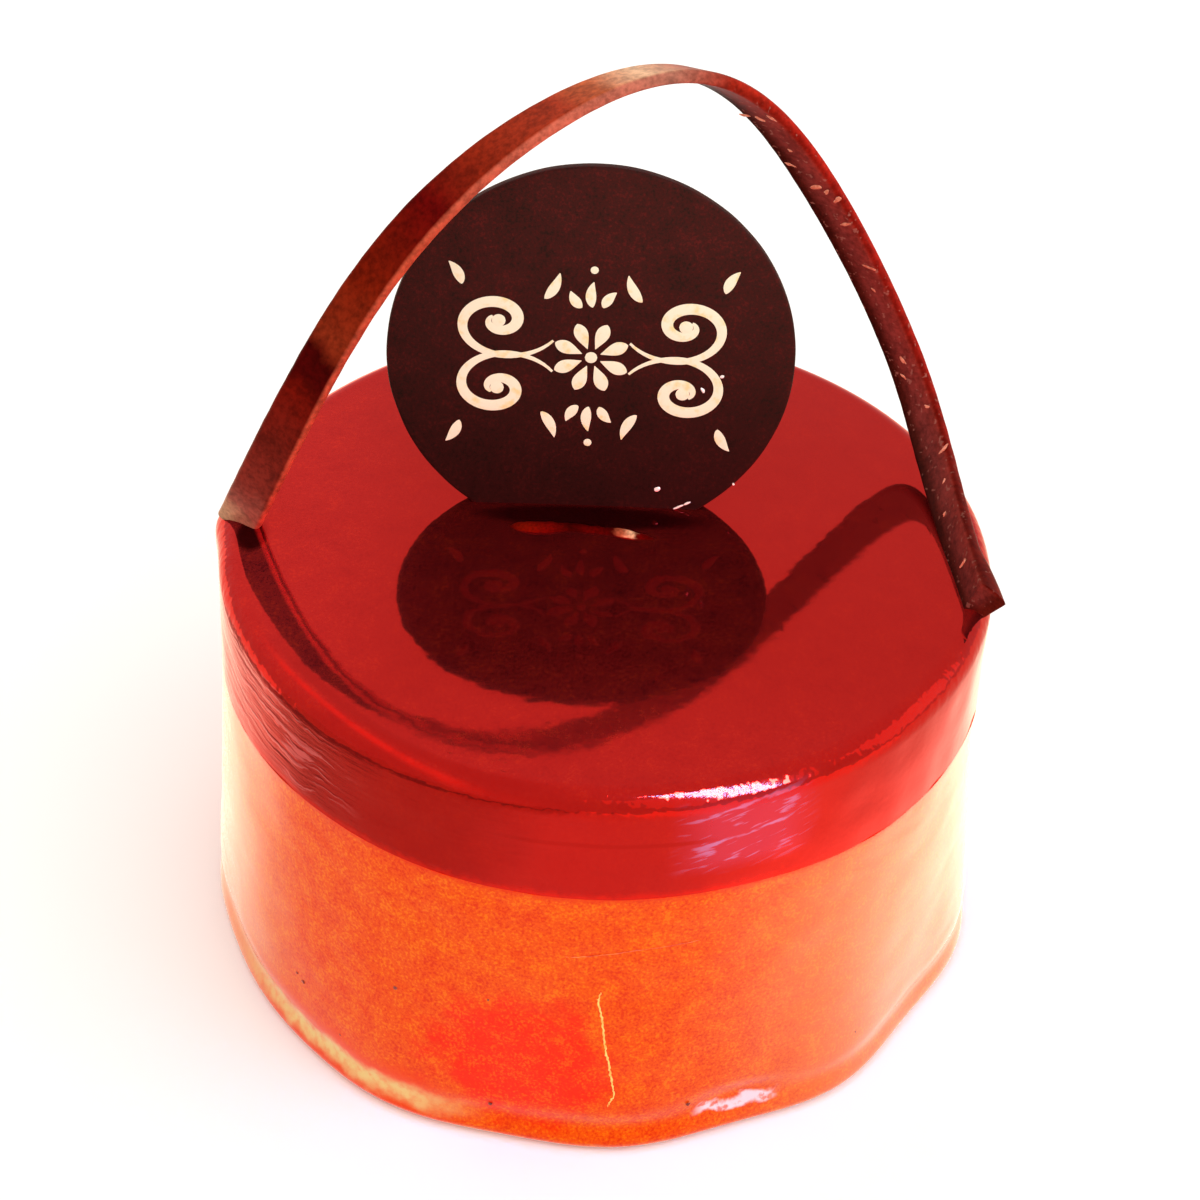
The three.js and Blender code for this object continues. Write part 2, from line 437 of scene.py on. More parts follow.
class NodeSheet:
    """One node tree, with short calls to fill it."""

    def __init__(self, tree: bpy.types.NodeTree) -> None:
        """Start on a tree and keep whatever it holds."""
        self.tree = tree

    def add(self, kind: str, feeds: dict | None = None, **settings: object) -> bpy.types.Node:
        """Add a node.

        Args:
            kind: Its type.
            feeds: A value or another node's socket for each input, by name or number.
            settings: Its own properties.

        Returns:
            The node.
        """
        node = self.tree.nodes.new(kind)
        for name, value in settings.items():
            setattr(node, name, value)
        for key, source in (feeds or {}).items():
            self.feed(node.inputs[key], source)
        return node

    def feed(self, socket: Socket, source: object) -> None:
        """Link a socket to another, or set its value.

        Args:
            socket: The input.
            source: A socket or a value.
        """
        if isinstance(source, bpy.types.NodeSocket):
            self.tree.links.new(source, socket)
        else:
            socket.default_value = source

    def math(self, operation: str, first: object, second: object = 0.0) -> Socket:
        """The result of an operation on two numbers."""
        return self.add("ShaderNodeMath", {0: first, 1: second}, operation=operation).outputs[0]

    def total(self, first: object, *others: object) -> Socket:
        """Numbers added up."""
        for other in others:
            first = self.math("ADD", first, other)
        return first

    def product(self, first: object, *factors: object) -> Socket:
        """Numbers multiplied."""
        for factor in factors:
            first = self.math("MULTIPLY", first, factor)
        return first

    def minus(self, first: object, second: object) -> Socket:
        """One number less another."""
        return self.math("SUBTRACT", first, second)

    def larger(self, first: object, second: object) -> Socket:
        """The larger of two numbers."""
        return self.math("MAXIMUM", first, second)

    def ramp(self, value: object, ramp: Ramp) -> Socket:
        """A value's way through a ramp.

        Args:
            value: The value.
            ramp: The ramp.

        Returns:
            What the ramp makes of it.
        """
        ends = {"From Min": ramp.low, "From Max": ramp.high, "To Min": ramp.start, "To Max": ramp.end}
        node = self.add("ShaderNodeMapRange", {"Value": value, **ends}, interpolation_type="SMOOTHSTEP")
        return node.outputs["Result"]

    def within(self, value: object, band: Band) -> Socket:
        """How far a value is inside a band, from 0 to 1."""
        above = self.ramp(value, Ramp(band.low - band.margin, band.low))
        return self.product(above, self.ramp(value, Ramp(band.high + band.margin, band.high)))

    def blend(self, share: object, first: object, second: object) -> Socket:
        """A colour between two, all the second where the share is 1."""
        feeds = {"Factor": share, 6: first, 7: second}
        return self.add("ShaderNodeMix", feeds, data_type="RGBA").outputs[2]

    def tones(self, tone: object, main: Colour, light: Colour, deep: Colour) -> Socket:
        """The main colour, lighter where a tone is near 1 and deeper where it is near 0."""
        upper = self.blend(self.ramp(tone, Ramp(0.5, 1.0)), main, light)
        return self.blend(self.ramp(tone, Ramp(0.5, 0.0)), upper, deep)

    def stops(self, value: object, colours: Stops) -> Socket:
        """A colour that runs through given ones as a value rises from 0 to 1.

        Args:
            value: The value.
            colours: Positions and colours in rising order.

        Returns:
            The colour.
        """
        node = self.add("ShaderNodeValToRGB", {0: value})
        marks = node.color_ramp.elements
        for extra in colours[2:]:
            marks.new(extra[0])
        for mark, (position, colour) in zip(marks, colours):
            mark.position = position
            mark.color = colour
        return node.outputs[0]

    def shaded(self, colour: object, brightness: object) -> Socket:
        """A colour made brighter or darker."""
        return self.add("ShaderNodeHueSaturation", {"Color": colour, "Value": brightness}).outputs[0]

    def mirrored_ray(self) -> Socket:
        """1 where the surface is seen in a mirror."""
        return self.add("ShaderNodeLightPath").outputs["Is Glossy Ray"]

    def place(self) -> Socket:
        """The place on the piece, in metres in the cake's own frame."""
        return self.add("ShaderNodeTexCoord").outputs["Object"]

    def stored(self, name: str) -> tuple[Socket, ...]:
        """The three numbers that the mesh stores under a name."""
        return self.split(self.add("ShaderNodeAttribute", attribute_name=name).outputs["Vector"])

    def split(self, vector: Socket) -> tuple[Socket, ...]:
        """X, Y and Z of a vector."""
        return tuple(self.add("ShaderNodeSeparateXYZ", {0: vector}).outputs)

    def wall(self, place: Socket) -> tuple[Socket, Socket]:
        """Direction round the cake in radians, and height, of a place."""
        x, y, height = self.split(place)
        return self.math("ARCTAN2", y, x), height

    def reach(self, place: Socket) -> Socket:
        """Distance of a place from the cake's middle line."""
        x, y, _ = self.split(place)
        return self.math("SQRT", self.total(self.product(x, x), self.product(y, y)))

    def squares(self, values: tuple[Socket, Socket], middle: Pair, half: Pair) -> Socket:
        """Squared distance from an ellipse's middle, where its edge is 1.

        Args:
            values: The two coordinates.
            middle: The ellipse's middle.
            half: Half its width and half its height.

        Returns:
            The squared distance.
        """
        shares = [self.math("DIVIDE", self.minus(v, m), h) for v, m, h in zip(values, middle, half)]
        return self.total(*(self.math("POWER", share, 2.0) for share in shares))

    def noise(self, vector: object, lumps: Lumps) -> Socket:
        """Noise from 0 to 1."""
        feeds = {"Vector": vector, "Scale": 1 / lumps.size, "Detail": lumps.detail}
        return self.add("ShaderNodeTexNoise", feeds).outputs["Fac"]

    def swing(self, vector: object, lumps: Lumps) -> Socket:
        """Noise from -0.5 to 0.5."""
        return self.minus(self.noise(vector, lumps), 0.5)

    def streaks(self, turn: Socket, height: Socket, streaks: Streaks) -> Socket:
        """Noise from 0 to 1 in streaks round the wall.

        Args:
            turn: Direction round the cake.
            height: Height above the base.
            streaks: Their sizes.

        Returns:
            The noise.
        """
        along = self.product(turn, WALL_RADIUS * streaks.width / streaks.length)
        rise = self.total(height, self.product(turn, -streaks.slope * WALL_RADIUS))
        flat = self.add("ShaderNodeCombineXYZ", {0: along, 1: rise}).outputs[0]
        return self.noise(flat, Lumps(streaks.width))

    def mottle(self, place: Socket, mottle: Mottle) -> tuple[Socket, Socket]:
        """Mottling at a place.

        Args:
            place: The place.
            mottle: Its sizes.

        Returns:
            The tone and the fine grain, both from 0 to 1.
        """
        feeds = {
            "Place": place,
            "Fine Size": mottle.fine,
            "Coarse Size": mottle.coarse,
            "Coarse Share": mottle.coarse_share,
            "Contrast": mottle.contrast,
        }
        tree = bpy.data.node_groups.get("mottle") or mottle_group()
        outputs = self.add("ShaderNodeGroup", feeds, node_tree=tree).outputs
        return outputs["Tone"], outputs["Grain"]


def mottle_group() -> bpy.types.NodeTree:
    """Fine two-scale mottling, as in set mousse and tempered chocolate.

    Returns:
        The group. Fine Size and Coarse Size are in metres, Contrast widens the spread.
    """
    tree = bpy.data.node_groups.new("mottle", "ShaderNodeTree")
    tree.interface.new_socket(name="Place", in_out="INPUT", socket_type="NodeSocketVector")
    for label in ("Fine Size", "Coarse Size", "Coarse Share", "Contrast"):
        tree.interface.new_socket(name=label, in_out="INPUT", socket_type="NodeSocketFloat")
    for label in ("Tone", "Grain"):
        tree.interface.new_socket(name=label, in_out="OUTPUT", socket_type="NodeSocketFloat")
    sheet = NodeSheet(tree)
    source = sheet.add("NodeGroupInput").outputs
    sink = sheet.add("NodeGroupOutput").inputs
    layers = []
    for size in ("Fine Size", "Coarse Size"):
        scale = sheet.math("DIVIDE", 1.0, source[size])
        feeds = {"Vector": source["Place"], "Scale": scale, "Detail": 3.0, "Roughness": 0.6}
        layers.append(sheet.add("ShaderNodeTexNoise", feeds).outputs["Fac"])
    mix = sheet.add("ShaderNodeMix", {0: source["Coarse Share"], 2: layers[0], 3: layers[1]}).outputs[0]
    tone = sheet.total(sheet.product(sheet.minus(mix, 0.5), source["Contrast"]), 0.5)
    sheet.feed(sink["Tone"], sheet.add("ShaderNodeClamp", {"Value": tone}).outputs[0])
    sheet.feed(sink["Grain"], layers[0])
    return tree


def start_material(name: str, gloss: Gloss) -> tuple[bpy.types.Material, NodeSheet, bpy.types.Node]:
    """A new node material with its shader set up.

    Args:
        name: The material's name.
        gloss: Its sheen.

    Returns:
        The material, its sheet and its Principled shader.
    """
    material = bpy.data.materials.new(name)
    material.use_nodes = True
    sheet = NodeSheet(material.node_tree)
    shader = material.node_tree.nodes["Principled BSDF"]
    sheet.feed(shader.inputs["Roughness"], gloss.roughness)
    sheet.feed(shader.inputs["IOR"], gloss.index)
    sheet.feed(shader.inputs["Specular Tint"], gloss.tint)
    sheet.feed(shader.inputs["Coat Weight"], gloss.coat)
    sheet.feed(shader.inputs["Coat Roughness"], gloss.coat_roughness)
    return material, sheet, shader


def add_relief(sheet: NodeSheet, shader: bpy.types.Node, height: Socket, depth: float) -> None:
    """Give a shader a fine relief.

    Args:
        sheet: The material's sheet.
        shader: Its shader.
        height: Heights, as shares of the depth.
        depth: How deep the relief is, in metres.
    """
    relief = sheet.add("ShaderNodeBump", {"Strength": 1.0, "Distance": depth, "Height": height})
    sheet.feed(shader.inputs["Normal"], relief.outputs[0])


# -------------------------------------------------------------------------------------- finishes


@dataclass(frozen=True)
class MousseFinish:
    """Milk chocolate mousse under a thin clear glaze."""

    main: Colour = seen_as(241, 79, 12, 1.2, 0.01)
    light: Colour = seen_as(248, 114, 22, 1.2, 0.01)
    deep: Colour = seen_as(228, 50, 8, 1.2, 0.01)
    mottle: Mottle = Mottle(0.27 * MM, 2.0 * MM, 0.34, 3.8)
    gloss: Gloss = Gloss(roughness=0.16, index=1.5, tint=(1.0, 0.3, 0.03, 1.0))
    grain_roughness: Ramp = Ramp(0.2, 0.8, 0.14, 0.24)
    grain_depth: float = 0.02 * MM

    # Painted sheen: the right and left sides turn pale.
    side_sheen: Colour = seen_as(242, 160, 112, 1.2, 0.01)
    side_sheen_right: Ramp = Ramp(8 * MM, 30 * MM, 0.0, 0.42)
    side_sheen_left: Ramp = Ramp(-25 * MM, -34 * MM, 0.0, 0.5)

    patch: Colour = seen_as(246, 32, 8, 1.2, 0.01)
    patch_centre: Pair = (-5.2 * MM, 10.0 * MM)
    patch_half: Pair = (8.4 * MM, 6.2 * MM)
    patch_lumps: Lumps = Lumps(3 * MM, 6.0)
    patch_raggedness: float = 3.4
    patch_edge: Ramp = Ramp(3.6, 2.2)
    patch_by_crack: Ramp = Ramp(3.2 * MM, 2.0 * MM, 0.25, 1.0)
    patch_clouds: Ramp = Ramp(0.3, 1.0, 1.0, 0.5)

    seam: Colour = seen_as(232, 40, 14, 1.22)
    seam_lumps: Lumps = Lumps(0.8 * MM)
    seam_raggedness: float = 0.5 * MM
    seam_fade: Ramp = Ramp(-1.0 * MM, -0.15 * MM, 0.0, 0.8)

    # Painted reflection of the bright surroundings on the swollen foot: a pale band, broad at the front left,
    # and a thin pale line along the base.
    foot: Colour = seen_as(238, 200, 130, 1.2)
    foot_lumps: Lumps = Lumps(3.0 * MM, 5.0)
    foot_wander: float = 3.0 * MM
    foot_from_left: Ramp = Ramp(-2.9, -2.35, 0.1, 1.0)
    foot_to_front: Ramp = Ramp(-1.78, -2.05)
    foot_grain: Lumps = Lumps(0.8 * MM, 5.0)
    foot_patchiness: Ramp = Ramp(0.25, 0.6, 0.6, 1.0)
    foot_level: Band = Band(2.3 * MM, 2.8 * MM, 1.5 * MM)
    base_line: Ramp = Ramp(0.6 * MM, 0.1 * MM, 0.0, 0.15)
    strip: Colour = seen_as(244, 62, 18, 1.2, 0.01)
    strip_level: Ramp = Ramp(6.6 * MM, 4.2 * MM, 0.0, 0.85)

    # Painted highlight of the window on the foot at the front right, broken up by noise.
    base_highlight: Colour = seen_as(250, 226, 240, 1.15)
    base_highlight_turn: Band = Band(-1.24, -1.08, 0.05)
    base_highlight_level: Band = Band(2.9 * MM, 3.4 * MM, 0.5 * MM)
    bead_lumps: Lumps = Lumps(1.0 * MM)
    base_highlight_breaks: Ramp = Ramp(0.35, 0.5, 0.2, 0.9)

    def build(self) -> bpy.types.Material:
        """Make the material.

        Returns:
            The material.
        """
        material, sheet, shader = start_material("mousse_under_clear_glaze", self.gloss)
        place = sheet.place()
        tone, grain = sheet.mottle(place, self.mottle)
        body = sheet.tones(tone, self.main, self.light, self.deep)
        x, _, _ = sheet.split(place)
        # Painted sheen towards the right and the left side.
        sides = sheet.larger(sheet.ramp(x, self.side_sheen_right), sheet.ramp(x, self.side_sheen_left))
        body = sheet.blend(sides, body, self.side_sheen)
        cloudy = sheet.product(self.patch_mask(sheet, place), sheet.ramp(tone, self.patch_clouds))
        body = sheet.blend(cloudy, body, self.patch)
        above_seam, _, _ = sheet.stored("seam")
        ragged = sheet.product(sheet.noise(place, self.seam_lumps), self.seam_raggedness)
        body = sheet.blend(sheet.ramp(sheet.minus(above_seam, ragged), self.seam_fade), body, self.seam)
        sheet.feed(shader.inputs["Base Color"], self.with_foot(sheet, place, body))
        sheet.feed(shader.inputs["Roughness"], sheet.ramp(grain, self.grain_roughness))
        add_relief(sheet, shader, grain, self.grain_depth)
        return material

    def patch_mask(self, sheet: NodeSheet, place: Socket) -> Socket:
        """Where the redder patch beside the crack is.

        Args:
            sheet: The material's sheet.
            place: The place on the wall.

        Returns:
            From 0 to 1.
        """
        x, y, height = sheet.split(place)
        square = sheet.squares((x, height), self.patch_centre, self.patch_half)
        ragged = sheet.product(sheet.noise(place, self.patch_lumps), self.patch_raggedness)
        inside = sheet.ramp(sheet.total(square, ragged), self.patch_edge)
        in_front = sheet.math("LESS_THAN", y, 0.0)
        return sheet.product(inside, in_front, sheet.ramp(x, self.patch_by_crack))

    def with_foot(self, sheet: NodeSheet, place: Socket, body: Socket) -> Socket:
        """Add the painted pale reflection on the foot, broad at the front left, under a redder strip, and the
        painted highlight at the front right.

        Args:
            sheet: The material's sheet.
            place: The place on the wall.
            body: The colour above the foot.

        Returns:
            The colour with the foot.
        """
        turn, height = sheet.wall(place)
        level = sheet.total(height, sheet.product(sheet.swing(place, self.foot_lumps), self.foot_wander))
        left = sheet.product(sheet.ramp(turn, self.foot_from_left), sheet.ramp(turn, self.foot_to_front))
        patchy = sheet.ramp(sheet.noise(place, self.foot_grain), self.foot_patchiness)
        # Painted reflection: the pale band and line on the foot.
        broad = sheet.product(sheet.within(level, self.foot_level), patchy, left)
        pale = sheet.larger(broad, sheet.ramp(level, self.base_line))
        body = sheet.blend(sheet.product(sheet.ramp(level, self.strip_level), left), body, self.strip)
        body = sheet.blend(pale, body, self.foot)
        # Painted highlight at the front right of the foot.
        base_highlight = sheet.product(sheet.within(turn, self.base_highlight_turn), sheet.within(level, self.base_highlight_level))
        broken = sheet.ramp(sheet.noise(place, self.bead_lumps), self.base_highlight_breaks)
        return sheet.blend(sheet.product(base_highlight, broken), body, self.base_highlight)


@dataclass(frozen=True)
class GlazeFinish:
    """Mirror glaze on the dark layer: a mirror on top, softer and streaked on the wall."""

    main: Colour = seen_as(88, 15, 16, shine=0.0)
    light: Colour = seen_as(112, 24, 16, shine=0.0)
    deep: Colour = seen_as(60, 8, 13, shine=0.0)
    mottle: Mottle = Mottle(0.32 * MM, 2.6 * MM, 0.4, 2.8)
    gloss: Gloss = Gloss(0.05, index=3.5, tint=(1.0, 0.012, 0.004, 1.0), coat=0.06, coat_roughness=0.09)
    polish: Ramp = Ramp(MIRROR_FROM - 1.5 * MM, MIRROR_FROM, 0.16, 0.05)
    on_top: Ramp = Ramp(MIRROR_FROM, MIRROR_FROM + MM)
    lit_left: Ramp = Ramp(-12 * MM, -30 * MM, 0.0, 1.5)
    lit_front: Ramp = Ramp(-14 * MM, -31 * MM, 0.0, 0.8)

    seam: Colour = seen_as(190, 24, 10, shine=0.0)
    seam_lumps: Lumps = Lumps(0.8 * MM)
    seam_raggedness: float = 1.4 * MM
    seam_fade: Ramp = Ramp(0.2 * MM, -0.7 * MM, 0.0, 0.85)

    # Painted shadow: near-black pools on the top at the plaque's foot and at the strip's left foot.
    painted_shadow: Colour = seen_as(22, 3, 6, shine=0.0)
    shadow_edge: Ramp = Ramp(1.25**2, 0.75**2)
    shadow_pools: tuple[tuple[Pair, Pair], ...] = (
        ((-1.6 * MM, 1.95 * MM), (9.6 * MM, 1.5 * MM)),
        ((-31.9 * MM, -2.0 * MM), (1.4 * MM, 2.2 * MM)),
    )

    # Painted highlight: a bright red line along the rim at the front left, with a painted shade line just
    # inside it in the deep tone.
    rim_highlight: Colour = seen_as(226, 26, 20, shine=0.0)
    rim_highlight_path: Ramp = Ramp(-2.45, -1.75, 33.5 * MM, 34.75 * MM)
    rim_highlight_turn: Band = Band(-2.45, -1.8, 0.25)
    rim_highlight_height: Ramp = Ramp(39.3 * MM, 39.9 * MM)
    rim_highlight_fade: Ramp = Ramp(-1.98, -1.8, 0.7, 0.1)
    rim_highlight_lumps: Lumps = Lumps(2 * MM)
    rim_highlight_breaks: Ramp = Ramp(0.3, 0.6, 0.55, 1.0)
    rim_highlight_width: Band = Band(-0.02 * MM, 0.02 * MM, 0.38 * MM)
    shade_width: Band = Band(-1.2 * MM, -0.75 * MM, 0.4 * MM)
    shade_share: float = 0.6

    # Painted reflection of the window: a violet tint on the wall under the rim's bright spot, paler on the
    # folds and scrapes there.
    lilac_reflection: Colour = seen_as(104, 62, 90, shine=0.0)
    lilac_fold_reflection: Colour = seen_as(120, 150, 205, shine=0.0)
    lilac_reflection_share: float = 0.9
    window_turn: Band = Band(-1.25, -1.13, 0.15)
    window_height: Band = Band(34.0 * MM, 38.6 * MM, 2.2 * MM)
    folds: Streaks = Streaks(3.6 * MM, 0.8 * MM, 0.16)
    fold_edge: Ramp = Ramp(0.57, 0.67)
    scrapes: Streaks = Streaks(2.6 * MM, 0.3 * MM, 0.3)
    scrape_edge: Ramp = Ramp(0.6, 0.68, 0.0, 0.7)

    # Painted reflection on the ridges of the creases at the left, and painted shade in their hollows.
    pink_crease_reflection: Colour = seen_as(206, 116, 112, shine=0.0)
    crease_turn: Band = Band(-2.8, -2.35, 0.2)
    crease_level: Band = Band(31.4 * MM, 39.2 * MM, MM)
    crease_lumps: Lumps = Lumps(3.5 * MM, 4.0)
    crease_wander: float = 2.2 * MM
    creases: Streaks = Streaks(8.0 * MM, 0.65 * MM)
    crease_hollow_shade: Ramp = Ramp(0.5, 0.38, 0.0, 0.9)
    crease_ridge_reflection: Ramp = Ramp(0.54, 0.64, 0.0, 0.7)

    # Painted shade: a dark line along a fold at the front, in the painted shadow's colour.
    front_fold_turn: Band = Band(-1.72, -1.36, 0.12)
    front_fold_height: Band = Band(36.0 * MM, 36.25 * MM, 0.2 * MM)
    front_fold_shade: float = 0.9

    relief_depth: float = 0.05 * MM
    wall_stretch: tuple[float, float, float] = (1.0, 1.0, 9.0)
    wall_lumps: Lumps = Lumps(4 * MM, 5.0)
    wall_below: Ramp = Ramp(MIRROR_FROM, MIRROR_FROM - 1.5 * MM)
    wall_left: Ramp = Ramp(6 * MM, -18 * MM, 0.05, 1.0)
    bead_lumps: Lumps = Lumps(0.9 * MM, 1.0)
    bead_height: float = 1.8
    beads_below: Ramp = Ramp(41.3 * MM, 40.9 * MM)
    beads_above: Ramp = Ramp(38.8 * MM, 39.8 * MM, 0.1, 1.0)
    sway_lumps: Lumps = Lumps(3.5 * MM, 2.0)
    sway_height: Ramp = Ramp(0.0, 1.0, 0.4, 0.06)
    calm_below: Ramp = Ramp(MIRROR_FROM, MIRROR_FROM - MM)
    calm_right: Ramp = Ramp(4 * MM, 14 * MM)
    crease_height: float = 2.2

    def build(self) -> bpy.types.Material:
        """Make the material.

        Returns:
            The material.
        """
        material, sheet, shader = start_material("dark_mirror_glaze", self.gloss)
        place = sheet.place()
        tone, _ = sheet.mottle(place, self.mottle)
        body = sheet.tones(tone, self.main, self.light, self.deep)
        x, y, height = sheet.split(place)
        on_top = sheet.ramp(height, self.on_top)
        lit = sheet.larger(sheet.ramp(x, self.lit_left), sheet.ramp(y, self.lit_front))
        body = sheet.shaded(body, sheet.total(sheet.product(lit, on_top), 1.0))
        body = self.with_rim_lines(sheet, place, body)
        body = self.with_folds(sheet, place, body)
        above_seam, _, _ = sheet.stored("seam")
        ragged = sheet.product(sheet.noise(place, self.seam_lumps), self.seam_raggedness)
        body = sheet.blend(sheet.ramp(sheet.minus(above_seam, ragged), self.seam_fade), body, self.seam)
        # Painted shadow at the feet of the plaque and the strip.
        for middle, half in self.shadow_pools:
            inside = sheet.ramp(sheet.squares((x, y), middle, half), self.shadow_edge)
            body = sheet.blend(sheet.product(inside, on_top), body, self.painted_shadow)
        sheet.feed(shader.inputs["Base Color"], body)
        sheet.feed(shader.inputs["Roughness"], sheet.ramp(height, self.polish))
        add_relief(sheet, shader, self.relief(sheet, place), self.relief_depth)
        return material

    def with_rim_lines(self, sheet: NodeSheet, place: Socket, body: Socket) -> Socket:
        """Paint a highlight line along the rim at the front left, and a shade line inside it.

        Args:
            sheet: The material's sheet.
            place: The place on the glaze.
            body: The colour so far.

        Returns:
            The colour with the lines.
        """
        turn, height = sheet.wall(place)
        off = sheet.minus(sheet.reach(place), sheet.ramp(turn, self.rim_highlight_path))
        where = sheet.product(sheet.within(turn, self.rim_highlight_turn), sheet.ramp(height, self.rim_highlight_height))
        broken = sheet.ramp(sheet.noise(place, self.rim_highlight_lumps), self.rim_highlight_breaks)
        bright = sheet.product(sheet.ramp(turn, self.rim_highlight_fade), broken)
        # Painted shade line and painted highlight line along the rim.
        shade = sheet.product(sheet.within(off, self.shade_width), where, self.shade_share)
        rim_highlight = sheet.product(sheet.within(off, self.rim_highlight_width), where, bright)
        return sheet.blend(rim_highlight, sheet.blend(shade, body, self.deep), self.rim_highlight)

    def with_folds(self, sheet: NodeSheet, place: Socket, body: Socket) -> Socket:
        """Paint the window's pale violet reflection on the folds by the bright spot, a pink reflection and
        shade on the creases at the left, and a shade line along a fold in front.

        Args:
            sheet: The material's sheet.
            place: The place on the glaze.
            body: The colour so far.

        Returns:
            The colour with the folds.
        """
        turn, height = sheet.wall(place)
        window = sheet.product(sheet.within(turn, self.window_turn), sheet.within(height, self.window_height))
        folds = sheet.ramp(sheet.streaks(turn, height, self.folds), self.fold_edge)
        scrapes = sheet.ramp(sheet.streaks(turn, height, self.scrapes), self.scrape_edge)
        # Painted reflection of the window on the wall, on its folds and scrapes.
        body = sheet.blend(sheet.product(window, self.lilac_reflection_share), body, self.lilac_reflection)
        body = sheet.blend(sheet.product(window, sheet.larger(folds, scrapes)), body, self.lilac_fold_reflection)
        left, creases = self.left_creases(sheet, place)
        # Painted shade in the hollows of the creases, painted reflection on their ridges.
        body = sheet.blend(sheet.product(left, sheet.ramp(creases, self.crease_hollow_shade)), body, self.deep)
        body = sheet.blend(sheet.product(left, sheet.ramp(creases, self.crease_ridge_reflection)), body, self.pink_crease_reflection)
        # Painted shade along the fold at the front.
        across = sheet.within(height, self.front_fold_height)
        fold = sheet.product(sheet.within(turn, self.front_fold_turn), across, self.front_fold_shade)
        return sheet.blend(fold, body, self.painted_shadow)

    def left_creases(self, sheet: NodeSheet, place: Socket) -> tuple[Socket, Socket]:
        """The creased zone at the left.

        Args:
            sheet: The material's sheet.
            place: The place on the glaze.

        Returns:
            Where the zone is, and the creases in it, both from 0 to 1.
        """
        turn, height = sheet.wall(place)
        zone = sheet.product(sheet.within(turn, self.crease_turn), sheet.within(height, self.crease_level))
        wander = sheet.product(sheet.noise(place, self.crease_lumps), self.crease_wander)
        return zone, sheet.streaks(turn, sheet.total(height, wander), self.creases)

    def relief(self, sheet: NodeSheet, place: Socket) -> Socket:
        """Streaks and creases on the wall, beads along the rim and a slight sway.

        Args:
            sheet: The material's sheet.
            place: The place on the glaze.

        Returns:
            Heights as shares of the relief's depth.
        """
        x, _, height = sheet.split(place)
        stretched = sheet.add("ShaderNodeMapping", {"Vector": place, "Scale": self.wall_stretch}).outputs[0]
        on_wall = sheet.product(sheet.ramp(height, self.wall_below), sheet.ramp(x, self.wall_left))
        streaks = sheet.product(sheet.swing(stretched, self.wall_lumps), on_wall)
        rim = sheet.product(sheet.ramp(height, self.beads_below), sheet.ramp(height, self.beads_above))
        beads = sheet.product(sheet.swing(place, self.bead_lumps), rim, self.bead_height)
        calm = sheet.product(sheet.ramp(height, self.calm_below), sheet.ramp(x, self.calm_right))
        sway = sheet.product(sheet.swing(place, self.sway_lumps), sheet.ramp(calm, self.sway_height))
        zone, creases = self.left_creases(sheet, place)
        folds = sheet.product(sheet.minus(creases, 0.5), zone, self.crease_height)
        return sheet.total(streaks, beads, sway, folds)


@dataclass(frozen=True)
class PlaqueFinish:
    """Tempered dark chocolate with a fine grain, darker towards the plaque's foot."""

    main: Colour = seen_as(70, 24, 21, shine=0.001)
    light: Colour = seen_as(102, 30, 27, shine=0.001)
    deep: Colour = seen_as(38, 19, 14, shine=0.001)
    mottle: Mottle = Mottle(0.3 * MM, 3 * MM, 0.35, 2.6)
    gloss: Gloss = Gloss(roughness=0.6, index=1.2, tint=(1.0, 0.8, 0.7, 1.0))
    grain_roughness: Ramp = Ramp(0.2, 0.8, 0.48, 0.72)
    grain_depth: float = 0.01 * MM
    foot_shade: Ramp = Ramp(38 * MM, 76 * MM, 0.3, 1.0)

    def build(self) -> bpy.types.Material:
        """Make the material.

        Returns:
            The material.
        """
        material, sheet, shader = start_material("plaque_chocolate", self.gloss)
        place = sheet.place()
        tone, grain = sheet.mottle(place, self.mottle)
        body = sheet.tones(tone, self.main, self.light, self.deep)
        _, _, height = sheet.split(place)
        sheet.feed(shader.inputs["Base Color"], sheet.shaded(body, sheet.ramp(height, self.foot_shade)))
        sheet.feed(shader.inputs["Roughness"], sheet.ramp(grain, self.grain_roughness))
        add_relief(sheet, shader, grain, self.grain_depth)
        return material


